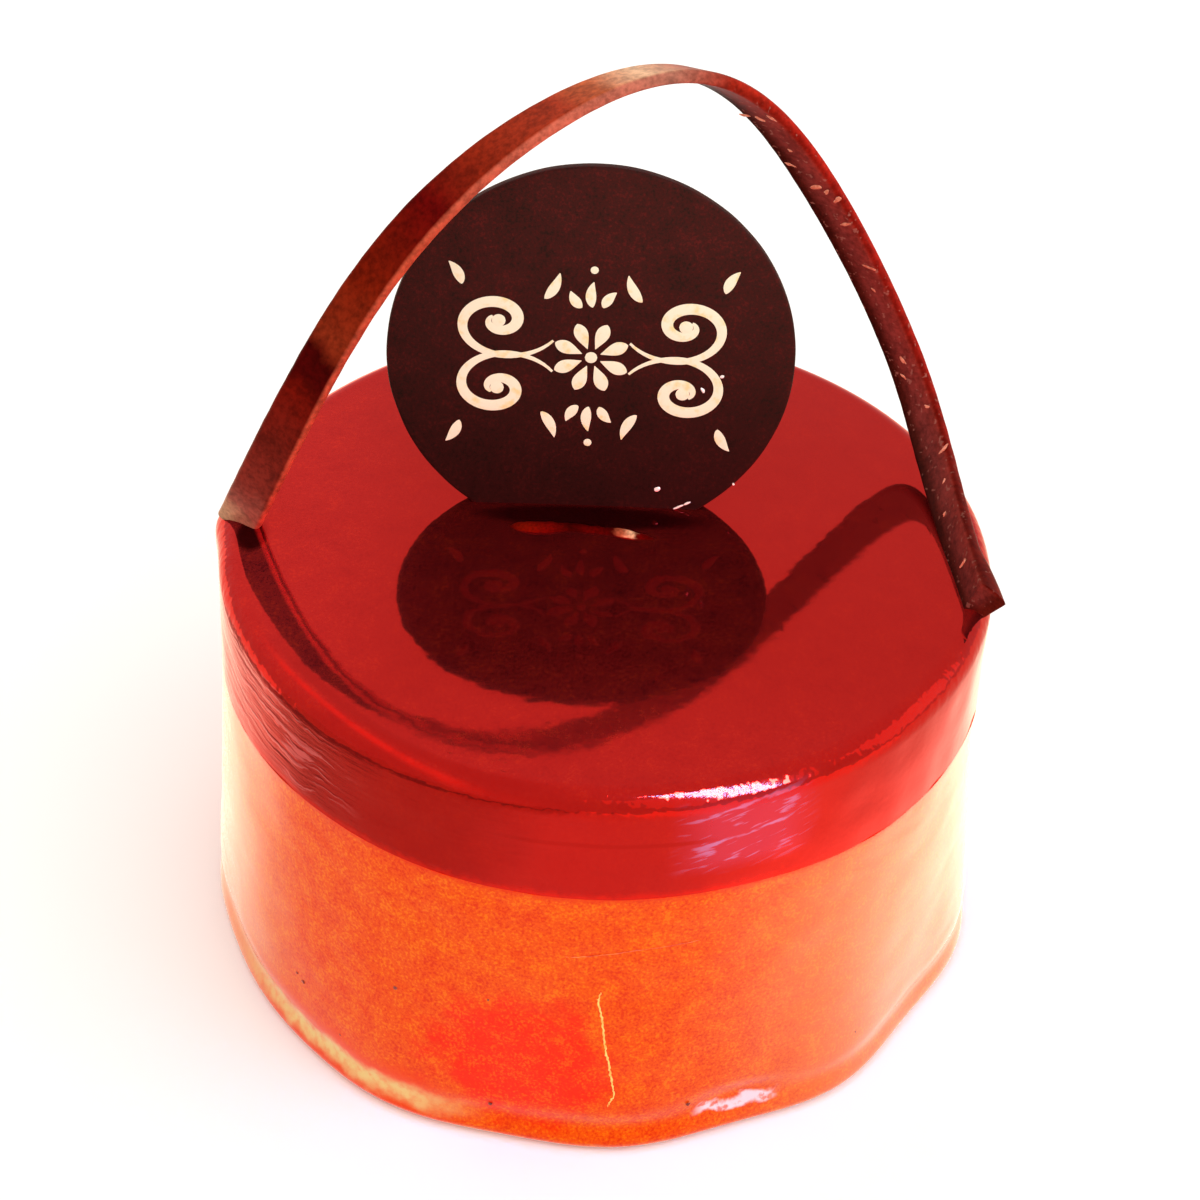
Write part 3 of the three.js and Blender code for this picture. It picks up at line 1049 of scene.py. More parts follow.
@dataclass(frozen=True)
class RibbonFinish:
    """Tempered chocolate of the strip, whose tone changes along it and from face to face, with painted
    highlights, reflections and shade in these changes.
    """

    # The tone along the strip's outside face, with a painted pale reflection at the left foot, a painted dark
    # band a little above it and a painted highlight near the top of the arch.
    outer_shading: Stops = stops_seen_as(
        (0.0, 196, 146, 110),
        (0.012, 170, 90, 76),
        (0.032, 133, 49, 40),
        (0.06, 116, 38, 31),
        (0.096, 113, 29, 24),
        (0.106, 79, 18, 14),
        (0.121, 76, 18, 15),
        (0.131, 140, 50, 32),
        (0.167, 124, 36, 25),
        (0.229, 108, 22, 20),
        (0.275, 150, 46, 30),
        (0.345, 174, 62, 40),
        (0.38, 210, 104, 64),
        (0.425, 242, 190, 150),
        (0.47, 196, 110, 88),
        (0.52, 116, 42, 34),
    )
    outer_lumps: Lumps = Lumps(3 * MM)
    outer_wander: float = 0.02
    # Across the strip's inside face: painted shade, lighter at the front and darker to the back.
    inner: Stops = stops_seen_as(
        (0.0, 176, 56, 44),
        (0.14, 160, 60, 52),
        (0.4, 146, 60, 54),
        (0.56, 130, 52, 46),
        (0.76, 84, 30, 23),
        (1.0, 44, 13, 10),
        shine=0.001,
    )
    # Painted highlights along the front edge: pale near the top of the arch and a bright red line on the
    # right half.
    edge: Stops = stops_seen_as(
        (0.0, 190, 80, 60),
        (0.2, 200, 84, 60),
        (0.35, 214, 110, 88),
        (0.45, 190, 120, 100),
        (0.52, 186, 50, 36),
        (0.62, 200, 44, 34),
        (0.9, 176, 42, 34),
        (1.0, 150, 44, 36),
    )
    to_outer: Ramp = Ramp(-0.6, 0.6)
    to_edge: Ramp = Ramp(0.8, 0.96)
    edge_inner_shade: Ramp = Ramp(-0.6, 0.5, 0.55, 1.0)
    edge_lit_rise: Ramp = Ramp(0.56, 0.5)
    mottle: Mottle = Mottle(0.5 * MM, 2.2 * MM, 0.45, 2.6)
    mottle_shade: Ramp = Ramp(0.0, 1.0, 0.62, 1.42)
    speck: Colour = seen_as(206, 132, 116)
    speck_lumps: Lumps = Lumps(0.6 * MM, 2.0)
    speck_edge: Ramp = Ramp(0.62, 0.7, 0.0, 0.5)
    speck_from: Ramp = Ramp(0.5, 0.6)
    foot_shade: Ramp = Ramp(0.8, 0.98, 1.0, 0.62)
    gloss: Gloss = Gloss(roughness=0.42, index=1.1, tint=(1.0, 0.12, 0.07, 1.0))
    grain_roughness: Ramp = Ramp(0.2, 0.8, 0.34, 0.5)
    grain_depth: float = 0.015 * MM

    mirrored_inner: Colour = (0.3, 0.3, 0.3, 1.0)
    mirrored_outer: Colour = (0.06, 0.06, 0.06, 1.0)
    mirrored_edge: Colour = (0.66, 0.66, 0.66, 1.0)
    mirrored_rise: Ramp = Ramp(0.36, 0.3)
    mirrored_front: Ramp = Ramp(0.1, -0.25)
    mirrored_under: Ramp = Ramp(0.2, -0.4)
    mirrored_core: Band = Band(-0.2, 0.2, 0.2)

    def build(self) -> bpy.types.Material:
        """Make the material.

        Returns:
            The material.
        """
        material, sheet, shader = start_material("ribbon_chocolate", self.gloss)
        place = sheet.place()
        share, back, out = sheet.stored("strip")
        front = sheet.product(back, -1.0)
        wander = sheet.product(sheet.swing(place, self.outer_lumps), self.outer_wander)
        # Painted light along the outside face.
        outer_shading = sheet.stops(sheet.total(share, wander), self.outer_shading)
        # Painted shade across the inside face.
        inner = sheet.stops(sheet.total(sheet.product(back, 0.5), 0.5), self.inner)
        body = sheet.blend(sheet.ramp(out, self.to_outer), inner, outer_shading)
        # Painted highlights on the front edge, darker towards the inside face on the right half.
        lit = sheet.larger(sheet.ramp(out, self.edge_inner_shade), sheet.ramp(share, self.edge_lit_rise))
        edge = sheet.shaded(sheet.stops(share, self.edge), lit)
        body = sheet.blend(sheet.ramp(front, self.to_edge), body, edge)
        tone, grain = sheet.mottle(place, self.mottle)
        body = sheet.shaded(body, sheet.ramp(tone, self.mottle_shade))
        specks = sheet.ramp(sheet.noise(place, self.speck_lumps), self.speck_edge)
        body = sheet.blend(sheet.product(specks, sheet.ramp(share, self.speck_from)), body, self.speck)
        body = sheet.shaded(body, sheet.ramp(share, self.foot_shade))
        body = sheet.blend(sheet.mirrored_ray(), body, self.in_mirror(sheet, share, front, out))
        sheet.feed(shader.inputs["Base Color"], body)
        sheet.feed(shader.inputs["Roughness"], sheet.ramp(grain, self.grain_roughness))
        add_relief(sheet, shader, grain, self.grain_depth)
        return material

    def in_mirror(self, sheet: NodeSheet, share: Socket, front: Socket, out: Socket) -> Socket:
        """The strip's colour as the glaze mirrors it.

        Args:
            sheet: The material's sheet.
            share: How far along the strip, from 0 to 1.
            front: How far across to the front, from -1 to 1.
            out: How far outward, from -1 to 1.

        Returns:
            The colour.
        """
        rising = sheet.ramp(share, self.mirrored_rise)
        under = sheet.ramp(out, self.mirrored_under)
        rear = sheet.product(sheet.ramp(front, self.mirrored_front), rising, under)
        core = sheet.product(sheet.within(out, self.mirrored_core), rising)
        corners = sheet.product(sheet.ramp(front, self.to_edge), sheet.minus(1.0, core))
        faces = sheet.blend(sheet.ramp(out, self.to_outer), self.mirrored_inner, self.mirrored_outer)
        return sheet.blend(sheet.larger(corners, rear), faces, self.mirrored_edge)


@dataclass(frozen=True)
class LipFinish:
    """Glaze pushed up in front of the plaque, with a painted red highlight at its left and a painted bright
    pale-orange highlight at its right.
    """

    # Painted highlights along the ridge: red at its left, bright pale orange at its right, darker between.
    along: Stops = (
        (0.0, seen_as(96, 12, 14, 2.0)),
        (0.1, seen_as(160, 34, 22, 2.0)),
        (0.28, seen_as(140, 26, 20, 2.0)),
        (0.42, seen_as(80, 8, 11, 2.0)),
        (0.56, seen_as(120, 18, 20, 2.0)),
        (0.7, seen_as(100, 12, 14, 2.0)),
        (0.76, seen_as(230, 110, 76, 1.6)),
        (0.83, seen_as(252, 184, 142, 1.2)),
        (0.88, seen_as(130, 18, 20, 2.0)),
        (1.0, seen_as(90, 10, 14, 2.0)),
    )
    start: float = -9.0 * MM
    end: float = 4.5 * MM
    lumps: Lumps = Lumps(0.7 * MM)
    wander: float = 0.1
    grain: Lumps = Lumps(0.25 * MM)
    grain_shade: Ramp = Ramp(0.3, 0.7, 0.65, 1.2)
    gloss: Gloss = Gloss(roughness=0.6, index=1.1, tint=(1.0, 0.3, 0.15, 1.0))

    def build(self) -> bpy.types.Material:
        """Make the material.

        Returns:
            The material.
        """
        material, sheet, shader = start_material("glaze_lip", self.gloss)
        place = sheet.place()
        x, _, _ = sheet.split(place)
        share = sheet.math("DIVIDE", sheet.minus(x, self.start), self.end - self.start)
        wander = sheet.product(sheet.swing(place, self.lumps), self.wander)
        # Painted highlights along the ridge.
        colour = sheet.stops(sheet.total(share, wander), self.along)
        shade = sheet.ramp(sheet.noise(place, self.grain), self.grain_shade)
        sheet.feed(shader.inputs["Base Color"], sheet.shaded(colour, shade))
        return material


@dataclass(frozen=True)
class PlainFinish:
    """Two near tones in soft lumps, for prints and small marks, with a tone of its own in a mirror."""

    name: str
    main: Colour
    second: Colour
    roughness: float
    lumps: Lumps = Lumps(0.6 * MM)
    edge: Ramp = Ramp(0.35, 0.65)
    mirrored: Colour | None = None

    def build(self) -> bpy.types.Material:
        """Make the material.

        Returns:
            The material.
        """
        material, sheet, shader = start_material(self.name, Gloss(self.roughness))
        tone = sheet.ramp(sheet.noise(sheet.place(), self.lumps), self.edge)
        colour = sheet.blend(tone, self.main, self.second)
        if self.mirrored:
            colour = sheet.blend(sheet.mirrored_ray(), colour, self.mirrored)
        sheet.feed(shader.inputs["Base Color"], colour)
        return material


CRACK = PlainFinish("pale_split_glaze", display_colour(252, 206, 106), display_colour(250, 168, 66), 0.35)
SCRATCH = PlainFinish("scratched_glaze", display_colour(250, 120, 44), display_colour(212, 52, 18), 0.3)
CRUMB = PlainFinish("dark_crumb", display_colour(110, 28, 12), display_colour(168, 40, 14), 0.4)
PRINT = PlainFinish(
    "cream_print",
    seen_as(255, 246, 214, 1.2),
    seen_as(250, 226, 160, 1.2),
    roughness=0.5,
    lumps=Lumps(0.9 * MM),
    edge=Ramp(0.5, 0.75),
    mirrored=seen_as(96, 22, 18),
)
# Painted glint: the drops are near white so that they show as glints.
DROP_GLINT = PlainFinish(
    "glaze_drop_glint",
    display_colour(255, 236, 228),
    display_colour(255, 214, 202),
    roughness=0.08,
    mirrored=(0.06, 0.04, 0.04, 1.0),
)
SCUFF = PlainFinish(
    "ribbon_scuff",
    display_colour(232, 150, 118),
    display_colour(206, 98, 70),
    roughness=0.45,
    lumps=Lumps(0.3 * MM),
    mirrored=(0.2, 0.2, 0.2, 1.0),
)


# -------------------------------------------------------------------------------------- the drum


@dataclass(frozen=True)
class Wave:
    """One wave round the cake."""

    count: int
    size: float
    phase_deg: float

    def at(self, azimuth: np.ndarray) -> np.ndarray:
        """Its height in each direction."""
        return self.size * np.cos(self.count * azimuth - math.radians(self.phase_deg))


@dataclass(frozen=True)
class Drum:
    """Sizes of the two stacked layers, and the formulas of their hand-made outline."""

    base_flare: float = 1.15 * MM
    base_flare_power: float = 1.2
    base_round: float = 1.1 * MM
    layer_height: float = 29.85 * MM
    rim_height: float = 41.4 * MM
    rim_round: float = 2.2 * MM
    rim_tilt: float = 0.25 * MM
    dome_rise: float = 0.9 * MM
    around: int = 288
    flat_rings: Pair = (14 * MM, 28 * MM)
    wall_waves: tuple[Wave, ...] = (
        Wave(3, 0.31 * MM, 30),
        Wave(6, 0.14 * MM, 9),
        Wave(9, 0.24 * MM, -70),
        Wave(11, 0.23 * MM, 177),
    )
    layer_waves: tuple[Wave, ...] = (Wave(2, 0.22 * MM, 170), Wave(5, 0.16 * MM, 40))
    wave_share_at_top: float = 0.12
    wave_fade_height: float = 22 * MM
    bulge_azimuth: float = math.radians(176)
    bulge_height: float = 38.6 * MM
    bulge_out: float = 0.85 * MM
    bulge_half_angle: float = math.radians(5)
    bulge_half_height: float = 2.8 * MM

    def plain_radius(self, height: np.ndarray) -> np.ndarray:
        """The wall's radius without unevenness, before its corners are rounded."""
        flare = np.maximum(0, 1 - height / self.layer_height) ** self.base_flare_power
        return WALL_RADIUS + self.base_flare * flare

    def radius(self, azimuth: np.ndarray, height: np.ndarray) -> np.ndarray:
        """The wall's real radius, before its corners are rounded.

        Args:
            azimuth: Directions round the cake.
            height: Heights above the base.

        Returns:
            One radius for each.
        """
        fade = smooth_step(height, 0, self.wave_fade_height)
        waves = sum(wave.at(azimuth) for wave in self.wall_waves)
        turn = np.angle(np.exp(1j * (azimuth - self.bulge_azimuth)))
        swell = bump(turn, self.bulge_half_angle) * bump(height - self.bulge_height, self.bulge_half_height)
        wave_share = 1 - (1 - self.wave_share_at_top) * fade
        return self.plain_radius(height) + wave_share * waves + self.bulge_out * swell

    def layer_line(self, azimuth: np.ndarray) -> np.ndarray:
        """Height of the line between the layers."""
        return self.layer_height + sum(wave.at(azimuth) for wave in self.layer_waves)

    def top_height(self, x: np.ndarray, y: np.ndarray) -> np.ndarray:
        """Height of the domed top.

        Args:
            x: Places to the right.
            y: Places to the back.

        Returns:
            One height for each.
        """
        flat = WALL_RADIUS - self.rim_round
        share = np.minimum(np.hypot(x, y) / flat, 1)
        return self.rim_height + self.dome_rise * (1 - share**2) + self.rim_tilt * y / flat

    def wall_point(self, azimuth_deg: float, height: float, proud: float = 0.0) -> Vector:
        """A point on the wall.

        Args:
            azimuth_deg: Its direction round the cake.
            height: Its height above the base.
            proud: How far it stands out of the wall.

        Returns:
            The point.
        """
        azimuth = math.radians(azimuth_deg)
        radius = float(self.radius(np.array(azimuth), np.array(height))) + proud
        return Vector((radius * math.cos(azimuth), radius * math.sin(azimuth), height))

    def wrap(
        self, piece: bpy.types.Object, radius: np.ndarray, azimuth: np.ndarray, height: np.ndarray
    ) -> None:
        """Move a turned body's vertices to their real places, and store their height over the layer line.

        Args:
            piece: The turned body.
            radius: The real distance of each vertex from the middle line.
            azimuth: Its direction.
            height: Its real height.
        """
        move_vertices(piece, round_points(radius, azimuth, height))
        store(piece, "seam", np.stack([height - self.layer_line(azimuth), azimuth, height], axis=1))


@dataclass
class MousseLayer:
    """The lower layer, with the crack, scratch and crumbs that show on it."""

    drum: Drum
    wall_steps: int = 64
    base_steps: int = 8
    foot_height: float = 2.9 * MM
    foot_waist: float = 0.34 * MM
    foot_half_height: float = 1.2 * MM
    foot_wave: Wave = Wave(5, 0.25, -math.degrees(1))
    dent_depth: float = 0.55 * MM
    dent_azimuth: float = math.radians(-66.5)
    dent_half: float = math.radians(6.5)
    dent_height: float = 4.3 * MM
    dent_half_height: float = 1.05 * MM
    even_foot: float = 2 * MM
    unevenness: tuple[Unevenness, ...] = (Unevenness(0.02 * MM, 7 * MM, 3), Unevenness(0.006 * MM, 2 * MM, 4))
    crack_width: float = 0.12 * MM
    crack_line: tuple[Pair, ...] = (
        (-87.8, 19.3), (-88.1, 18.1), (-87.3, 16.0), (-87.0, 13.7),
        (-86.4, 11.6), (-85.7, 9.2), (-85.2, 7.1), (-86.1, 5.7),
    )
    scratch_width: float = 0.05 * MM
    scratch_line: tuple[Pair, ...] = (
        (-95.8, 23.15), (-92.3, 23.2), (-88.2, 23.6), (-82.6, 24.2), (-74.1, 24.6),
    )
    line_steps: int = 12
    line_wander: Pair = (0.07, 0.02)
    line_taper: Pair = (0.08, 0.4)
    line_swell: Pair = (0.55, 1.15)
    crumbs: tuple[tuple[float, float, float], ...] = (
        (-135.8, 8.1, 0.2), (-137.3, 8.5, 0.13), (-117.9, 14.7, 0.2), (-74.2, 4.6, 0.17),
        (-127.3, 5.5, 0.13), (-46.6, 6.4, 0.2), (-102.8, 4.1, 0.16), (-103.7, 16.7, 0.13),
        (152.0, 20.3, 0.18), (61.0, 12.2, 0.16), (96.5, 6.8, 0.2), (14.0, 17.6, 0.14),
    )
    crumb_sunk: float = 0.3
    crumb_shape: tuple[float, float, float] = (0.6, 1.0, 0.9)

    def build(self) -> None:
        """Make and dress the layer and its marks."""
        hand_over(self.body(), Slot.MOUSSE, MousseFinish().build(), "mousse_layer")
        crack = self.line("mousse_crack", self.crack_line, self.crack_width, seed=11)
        hand_over(crack, Slot.MOUSSE, CRACK.build())
        scratch = self.line("mousse_scratch", self.scratch_line, self.scratch_width, seed=12)
        hand_over(scratch, Slot.MOUSSE, SCRATCH.build())
        hand_over(self.crumb_piece(), Slot.MOUSSE, CRUMB.build())

    def body(self) -> bpy.types.Object:
        """The layer from its flat base to the line under the dark layer.

        Returns:
            The layer.
        """
        drum = self.drum
        rings = (0.0, *drum.flat_rings)
        profile = [(ring, 0.0) for ring in rings]
        arc = quarter_arc(drum.base_round, self.base_steps)
        profile += [(drum.plain_radius(rise) - inset, rise) for inset, rise in arc]
        for height in np.linspace(drum.base_round, drum.layer_height, self.wall_steps + 1)[1:]:
            profile.append((float(drum.plain_radius(height)), float(height)))
        profile += [(ring, drum.layer_height) for ring in reversed(rings)]
        piece = spun_body("mousse_body", profile, drum.around)
        self.settle(piece)
        return piece

    def settle(self, piece: bpy.types.Object) -> None:
        """Give the turned body the real wall's unevenness and the swollen foot.

        Args:
            piece: The turned body.
        """
        drum = self.drum
        x, y, plain_height = vertex_positions(piece).T
        azimuth = np.arctan2(y, x)
        inward = np.hypot(x, y) / drum.plain_radius(plain_height)
        height = plain_height * drum.layer_line(azimuth) / drum.layer_height
        waist = self.foot_waist * (1 + self.foot_wave.at(azimuth))
        waist *= bump(height - self.foot_height, self.foot_half_height)
        dent = self.dent_depth * bump(azimuth - self.dent_azimuth, self.dent_half)
        waist += dent * bump(height - self.dent_height, self.dent_half_height)
        radius = drum.radius(azimuth, height) - waist
        skin = round_points(radius, azimuth, height)
        radius += smooth_step(height, 0, self.even_foot) * sum(part.at(skin) for part in self.unevenness)
        drum.wrap(piece, radius * inward, azimuth, height)

    def line(self, name: str, corners: Sequence[Pair], radius: float, seed: int) -> bpy.types.Object:
        """A thin raised line on the wall.

        Args:
            name: The piece's name.
            corners: Azimuth in degrees and height in millimetres of each corner.
            radius: Half its width at its widest.
            seed: How it wanders.

        Returns:
            The line as a mesh.
        """
        random = np.random.default_rng(seed)
        count = self.line_steps * (len(corners) - 1) + 1
        shares = np.linspace(0, len(corners) - 1, count)
        azimuths = np.interp(shares, range(len(corners)), [corner[0] for corner in corners])
        heights = np.interp(shares, range(len(corners)), [corner[1] for corner in corners])
        azimuths += random.normal(0, self.line_wander[0], count)
        heights += random.normal(0, self.line_wander[1], count)
        points = np.array([self.drum.wall_point(a, h * MM) for a, h in zip(azimuths, heights)])
        start, power = self.line_taper
        ends = np.sin(np.linspace(start, math.pi - start, count)) ** power
        return thread(name, [(points, radius * ends * random.uniform(*self.line_swell, count))])

    def crumb_piece(self) -> bpy.types.Object:
        """The dark crumbs in the glaze of the wall.

        Returns:
            The crumbs as one mesh.
        """
        places = []
        for azimuth_deg, height, radius in self.crumbs:
            point = self.drum.wall_point(azimuth_deg, height * MM, -self.crumb_sunk * radius * MM)
            turn = Matrix.Rotation(math.radians(azimuth_deg), 4, "Z")
            size = Matrix.Diagonal((*(part * radius * MM for part in self.crumb_shape), 1.0))
            places.append(Matrix.Translation(point) @ turn @ size)
        return scattered("mousse_crumbs", places, roughness=0.18, seed=40)


@dataclass
class GlazedLayer:
    """The upper dark layer with its mirror glaze, and the ridge that the plaque pushed up."""

    drum: Drum
    wall_steps: int = 40
    rim_steps: int = 14
    dome_rings: int = 44
    even_rim: float = 2 * MM
    unevenness: Unevenness = Unevenness(0.015 * MM, 6 * MM, 5)
    lip_line: tuple[tuple[float, float, float], ...] = (
        (-8.9, 0.15, 0.12), (-7.9, 0.0, 0.5), (-6.6, -0.02, 0.68), (-5.2, 0.05, 0.66), (-3.9, 0.18, 0.5),
        (-2.8, 0.22, 0.46), (-1.7, 0.08, 0.5), (-0.5, -0.05, 0.42), (0.5, -0.1, 0.44), (1.5, -0.28, 0.52),
        (2.5, -0.5, 0.46), (3.4, -0.7, 0.3), (4.4, -0.85, 0.1),
    )
    lip_steps: int = 90
    lip_sunk: float = 0.12 * MM
    lip_swell: float = 1.05
    lip_unevenness: Unevenness = Unevenness(0.03 * MM, 1.1 * MM, 31)

    def build(self) -> None:
        """Make and dress the layer and the ridge."""
        hand_over(self.body(), Slot.GLAZE, GlazeFinish().build(), "dark_glazed_layer")
        hand_over(self.lip(), Slot.GLAZE, LipFinish().build())

    def body(self) -> bpy.types.Object:
        """The layer from the line over the mousse to the domed top.

        Returns:
            The layer.
        """
        drum = self.drum
        start = drum.layer_height
        shoulder = drum.rim_height - drum.rim_round
        profile = [(ring, start) for ring in (0.0, *drum.flat_rings)]
        for height in np.linspace(start, shoulder, self.wall_steps + 1):
            profile.append((WALL_RADIUS, float(height)))
        for i in range(1, self.rim_steps + 1):
            turn = i / self.rim_steps * math.pi / 2
            inset = drum.rim_round * (1 - math.cos(turn))
            profile.append((WALL_RADIUS - inset, shoulder + drum.rim_round * math.sin(turn)))
        flat = WALL_RADIUS - drum.rim_round
        for share in np.linspace(1, 0, self.dome_rings + 1)[1:]:
            profile.append((float(share) * flat, drum.rim_height + drum.dome_rise * (1 - float(share) ** 2)))
        piece = spun_body("glazed_body", profile, drum.around)
        self.settle(piece)
        return piece

    def settle(self, piece: bpy.types.Object) -> None:
        """Give the turned body the real outline, the tilted rim and a slight unevenness.

        Args:
            piece: The turned body.
        """
        drum = self.drum
        x, y, plain_height = vertex_positions(piece).T
        azimuth = np.arctan2(y, x)
        up = np.clip((plain_height - drum.layer_height) / (drum.rim_height - drum.layer_height), 0, 1)
        height = plain_height + (1 - up) * (drum.layer_line(azimuth) - drum.layer_height)
        height += up * drum.rim_tilt * y / WALL_RADIUS
        radius = drum.radius(azimuth, height)
        skin = round_points(radius, azimuth, height)
        radius += smooth_step(drum.rim_height - height, 0, self.even_rim) * self.unevenness.at(skin)
        drum.wrap(piece, radius * np.hypot(x, y) / WALL_RADIUS, azimuth, height)

    def lip(self) -> bpy.types.Object:
        """The glaze that was pushed up in front of the plaque.

        Returns:
            The ridge.
        """
        x, y, radius = np.array(self.lip_line).T * MM
        right = np.linspace(x[0], x[-1], self.lip_steps)
        back = np.interp(right, x, y)
        thick = np.interp(right, x, radius)
        height = self.drum.top_height(right, back) - self.lip_sunk
        line = (np.stack([right, back, height], axis=1), self.lip_swell * thick)
        piece = thread("glaze_lip", [line], sides=5)
        positions = vertex_positions(piece)
        positions += self.lip_unevenness.at(positions)[:, None] * np.array([0, 1, 1])
        move_vertices(piece, positions)
        return piece


# ----------------------------------------------------------------------------------- the plaque


@dataclass
class Plaque:
    """The round chocolate plaque, its printed ornament and the drops of glaze on it."""

    radius: float = 18.2 * MM
    thickness: float = 1.1 * MM
    edge_round: float = 0.25 * MM
    edge_steps: int = 4
    edge_unevenness: Unevenness = Unevenness(0.0007, 5 * MM, 8)
    front_centre: tuple[float, float, float] = (-2.2 * MM, 5.9 * MM, 57.1 * MM)
    lean: float = math.radians(8.6)
    yaw: float = math.radians(1)
    around: int = 240
    print_depth: float = 0.05 * MM
    drops: tuple[tuple[float, float, float, float], ...] = (
        (6.5, -13.0, 0.3, 0.22), (7.7, -15.25, 0.42, 0.1), (8.55, -14.75, 0.5, 0.1),
        (9.3, -14.35, 0.34, 0.1), (8.95, -16.0, 0.2, 0.17), (10.1, -2.8, 0.16, 0.3),
        (11.75, -1.4, 0.2, 0.14), (13.4, -12.2, 0.12, 0.12),
    )
    drop_height: float = 0.1 * MM
    drop_slant: float = math.radians(-28)

    def pose(self) -> Matrix:
        """Where the plaque stands: X to its right, Y into it and Z up along it."""
        turn = Matrix.Rotation(self.yaw, 4, "Z") @ Matrix.Rotation(-self.lean, 4, "X")
        return Matrix.Translation(self.front_centre) @ turn

    def build(self) -> None:
        """Make and dress the disc, the print and the drops."""
        hand_over(self.disc(), Slot.PLAQUE, PlaqueFinish().build(), "plaque")
        hand_over(self.ornament(), Slot.PLAQUE, PRINT.build())
        hand_over(self.drop_piece(), Slot.GLAZE, DROP_GLINT.build())

    def disc(self) -> bpy.types.Object:
        """The plate with its softened edges.

        Returns:
            The plate.
        """
        deselect_all()
        bpy.ops.mesh.primitive_cylinder_add(
            vertices=self.around,
            radius=self.radius,
            depth=self.thickness,
            location=(0, self.thickness / 2, 0),
            rotation=(math.pi / 2, 0, 0),
        )
        piece = new_piece("plaque_disc")
        bpy.ops.object.transform_apply(location=True, rotation=True, scale=True)
        bevel_edges(piece, lambda a, b: abs(a.y - b.y) < MERGE_DISTANCE, self.edge_round, self.edge_steps)
        positions = vertex_positions(piece)
        spread = np.hypot(positions[:, 0], positions[:, 2]) / self.radius
        positions[:, [0, 2]] *= (1 + spread * self.edge_unevenness.at(positions))[:, None]
        move_vertices(piece, positions)
        close_and_smooth(piece, CRISP_ANGLE)
        piece.data.transform(self.pose())
        return piece

    def ornament(self) -> bpy.types.Object:
        """The printed ornament: a rosette between scrolls, with buds above and below.

        Returns:
            The print.
        """
        piece = thread("plaque_print", Ornament().strokes(), sides=3)
        positions = vertex_positions(piece)
        positions[:, 1] = np.clip(positions[:, 1], -1, 0) / np.abs(positions[:, 1]).max() * self.print_depth
        move_vertices(piece, positions)
        close_and_smooth(piece, CRISP_ANGLE)
        piece.data.transform(self.pose())
        return piece

    def drop_piece(self) -> bpy.types.Object:
        """Small drops on the plaque near its foot, near white as painted glints.

        Returns:
            The drops as one mesh.
        """
        slant = Matrix.Rotation(self.drop_slant, 4, "Y")
        places = []
        for right, up, width, height in self.drops:
            size = Matrix.Diagonal((width * MM, self.drop_height, height * MM, 1.0))
            places.append(self.pose() @ Matrix.Translation((right * MM, 0, up * MM)) @ slant @ size)
        return scattered("plaque_drops", places, roughness=0.08, seed=70)


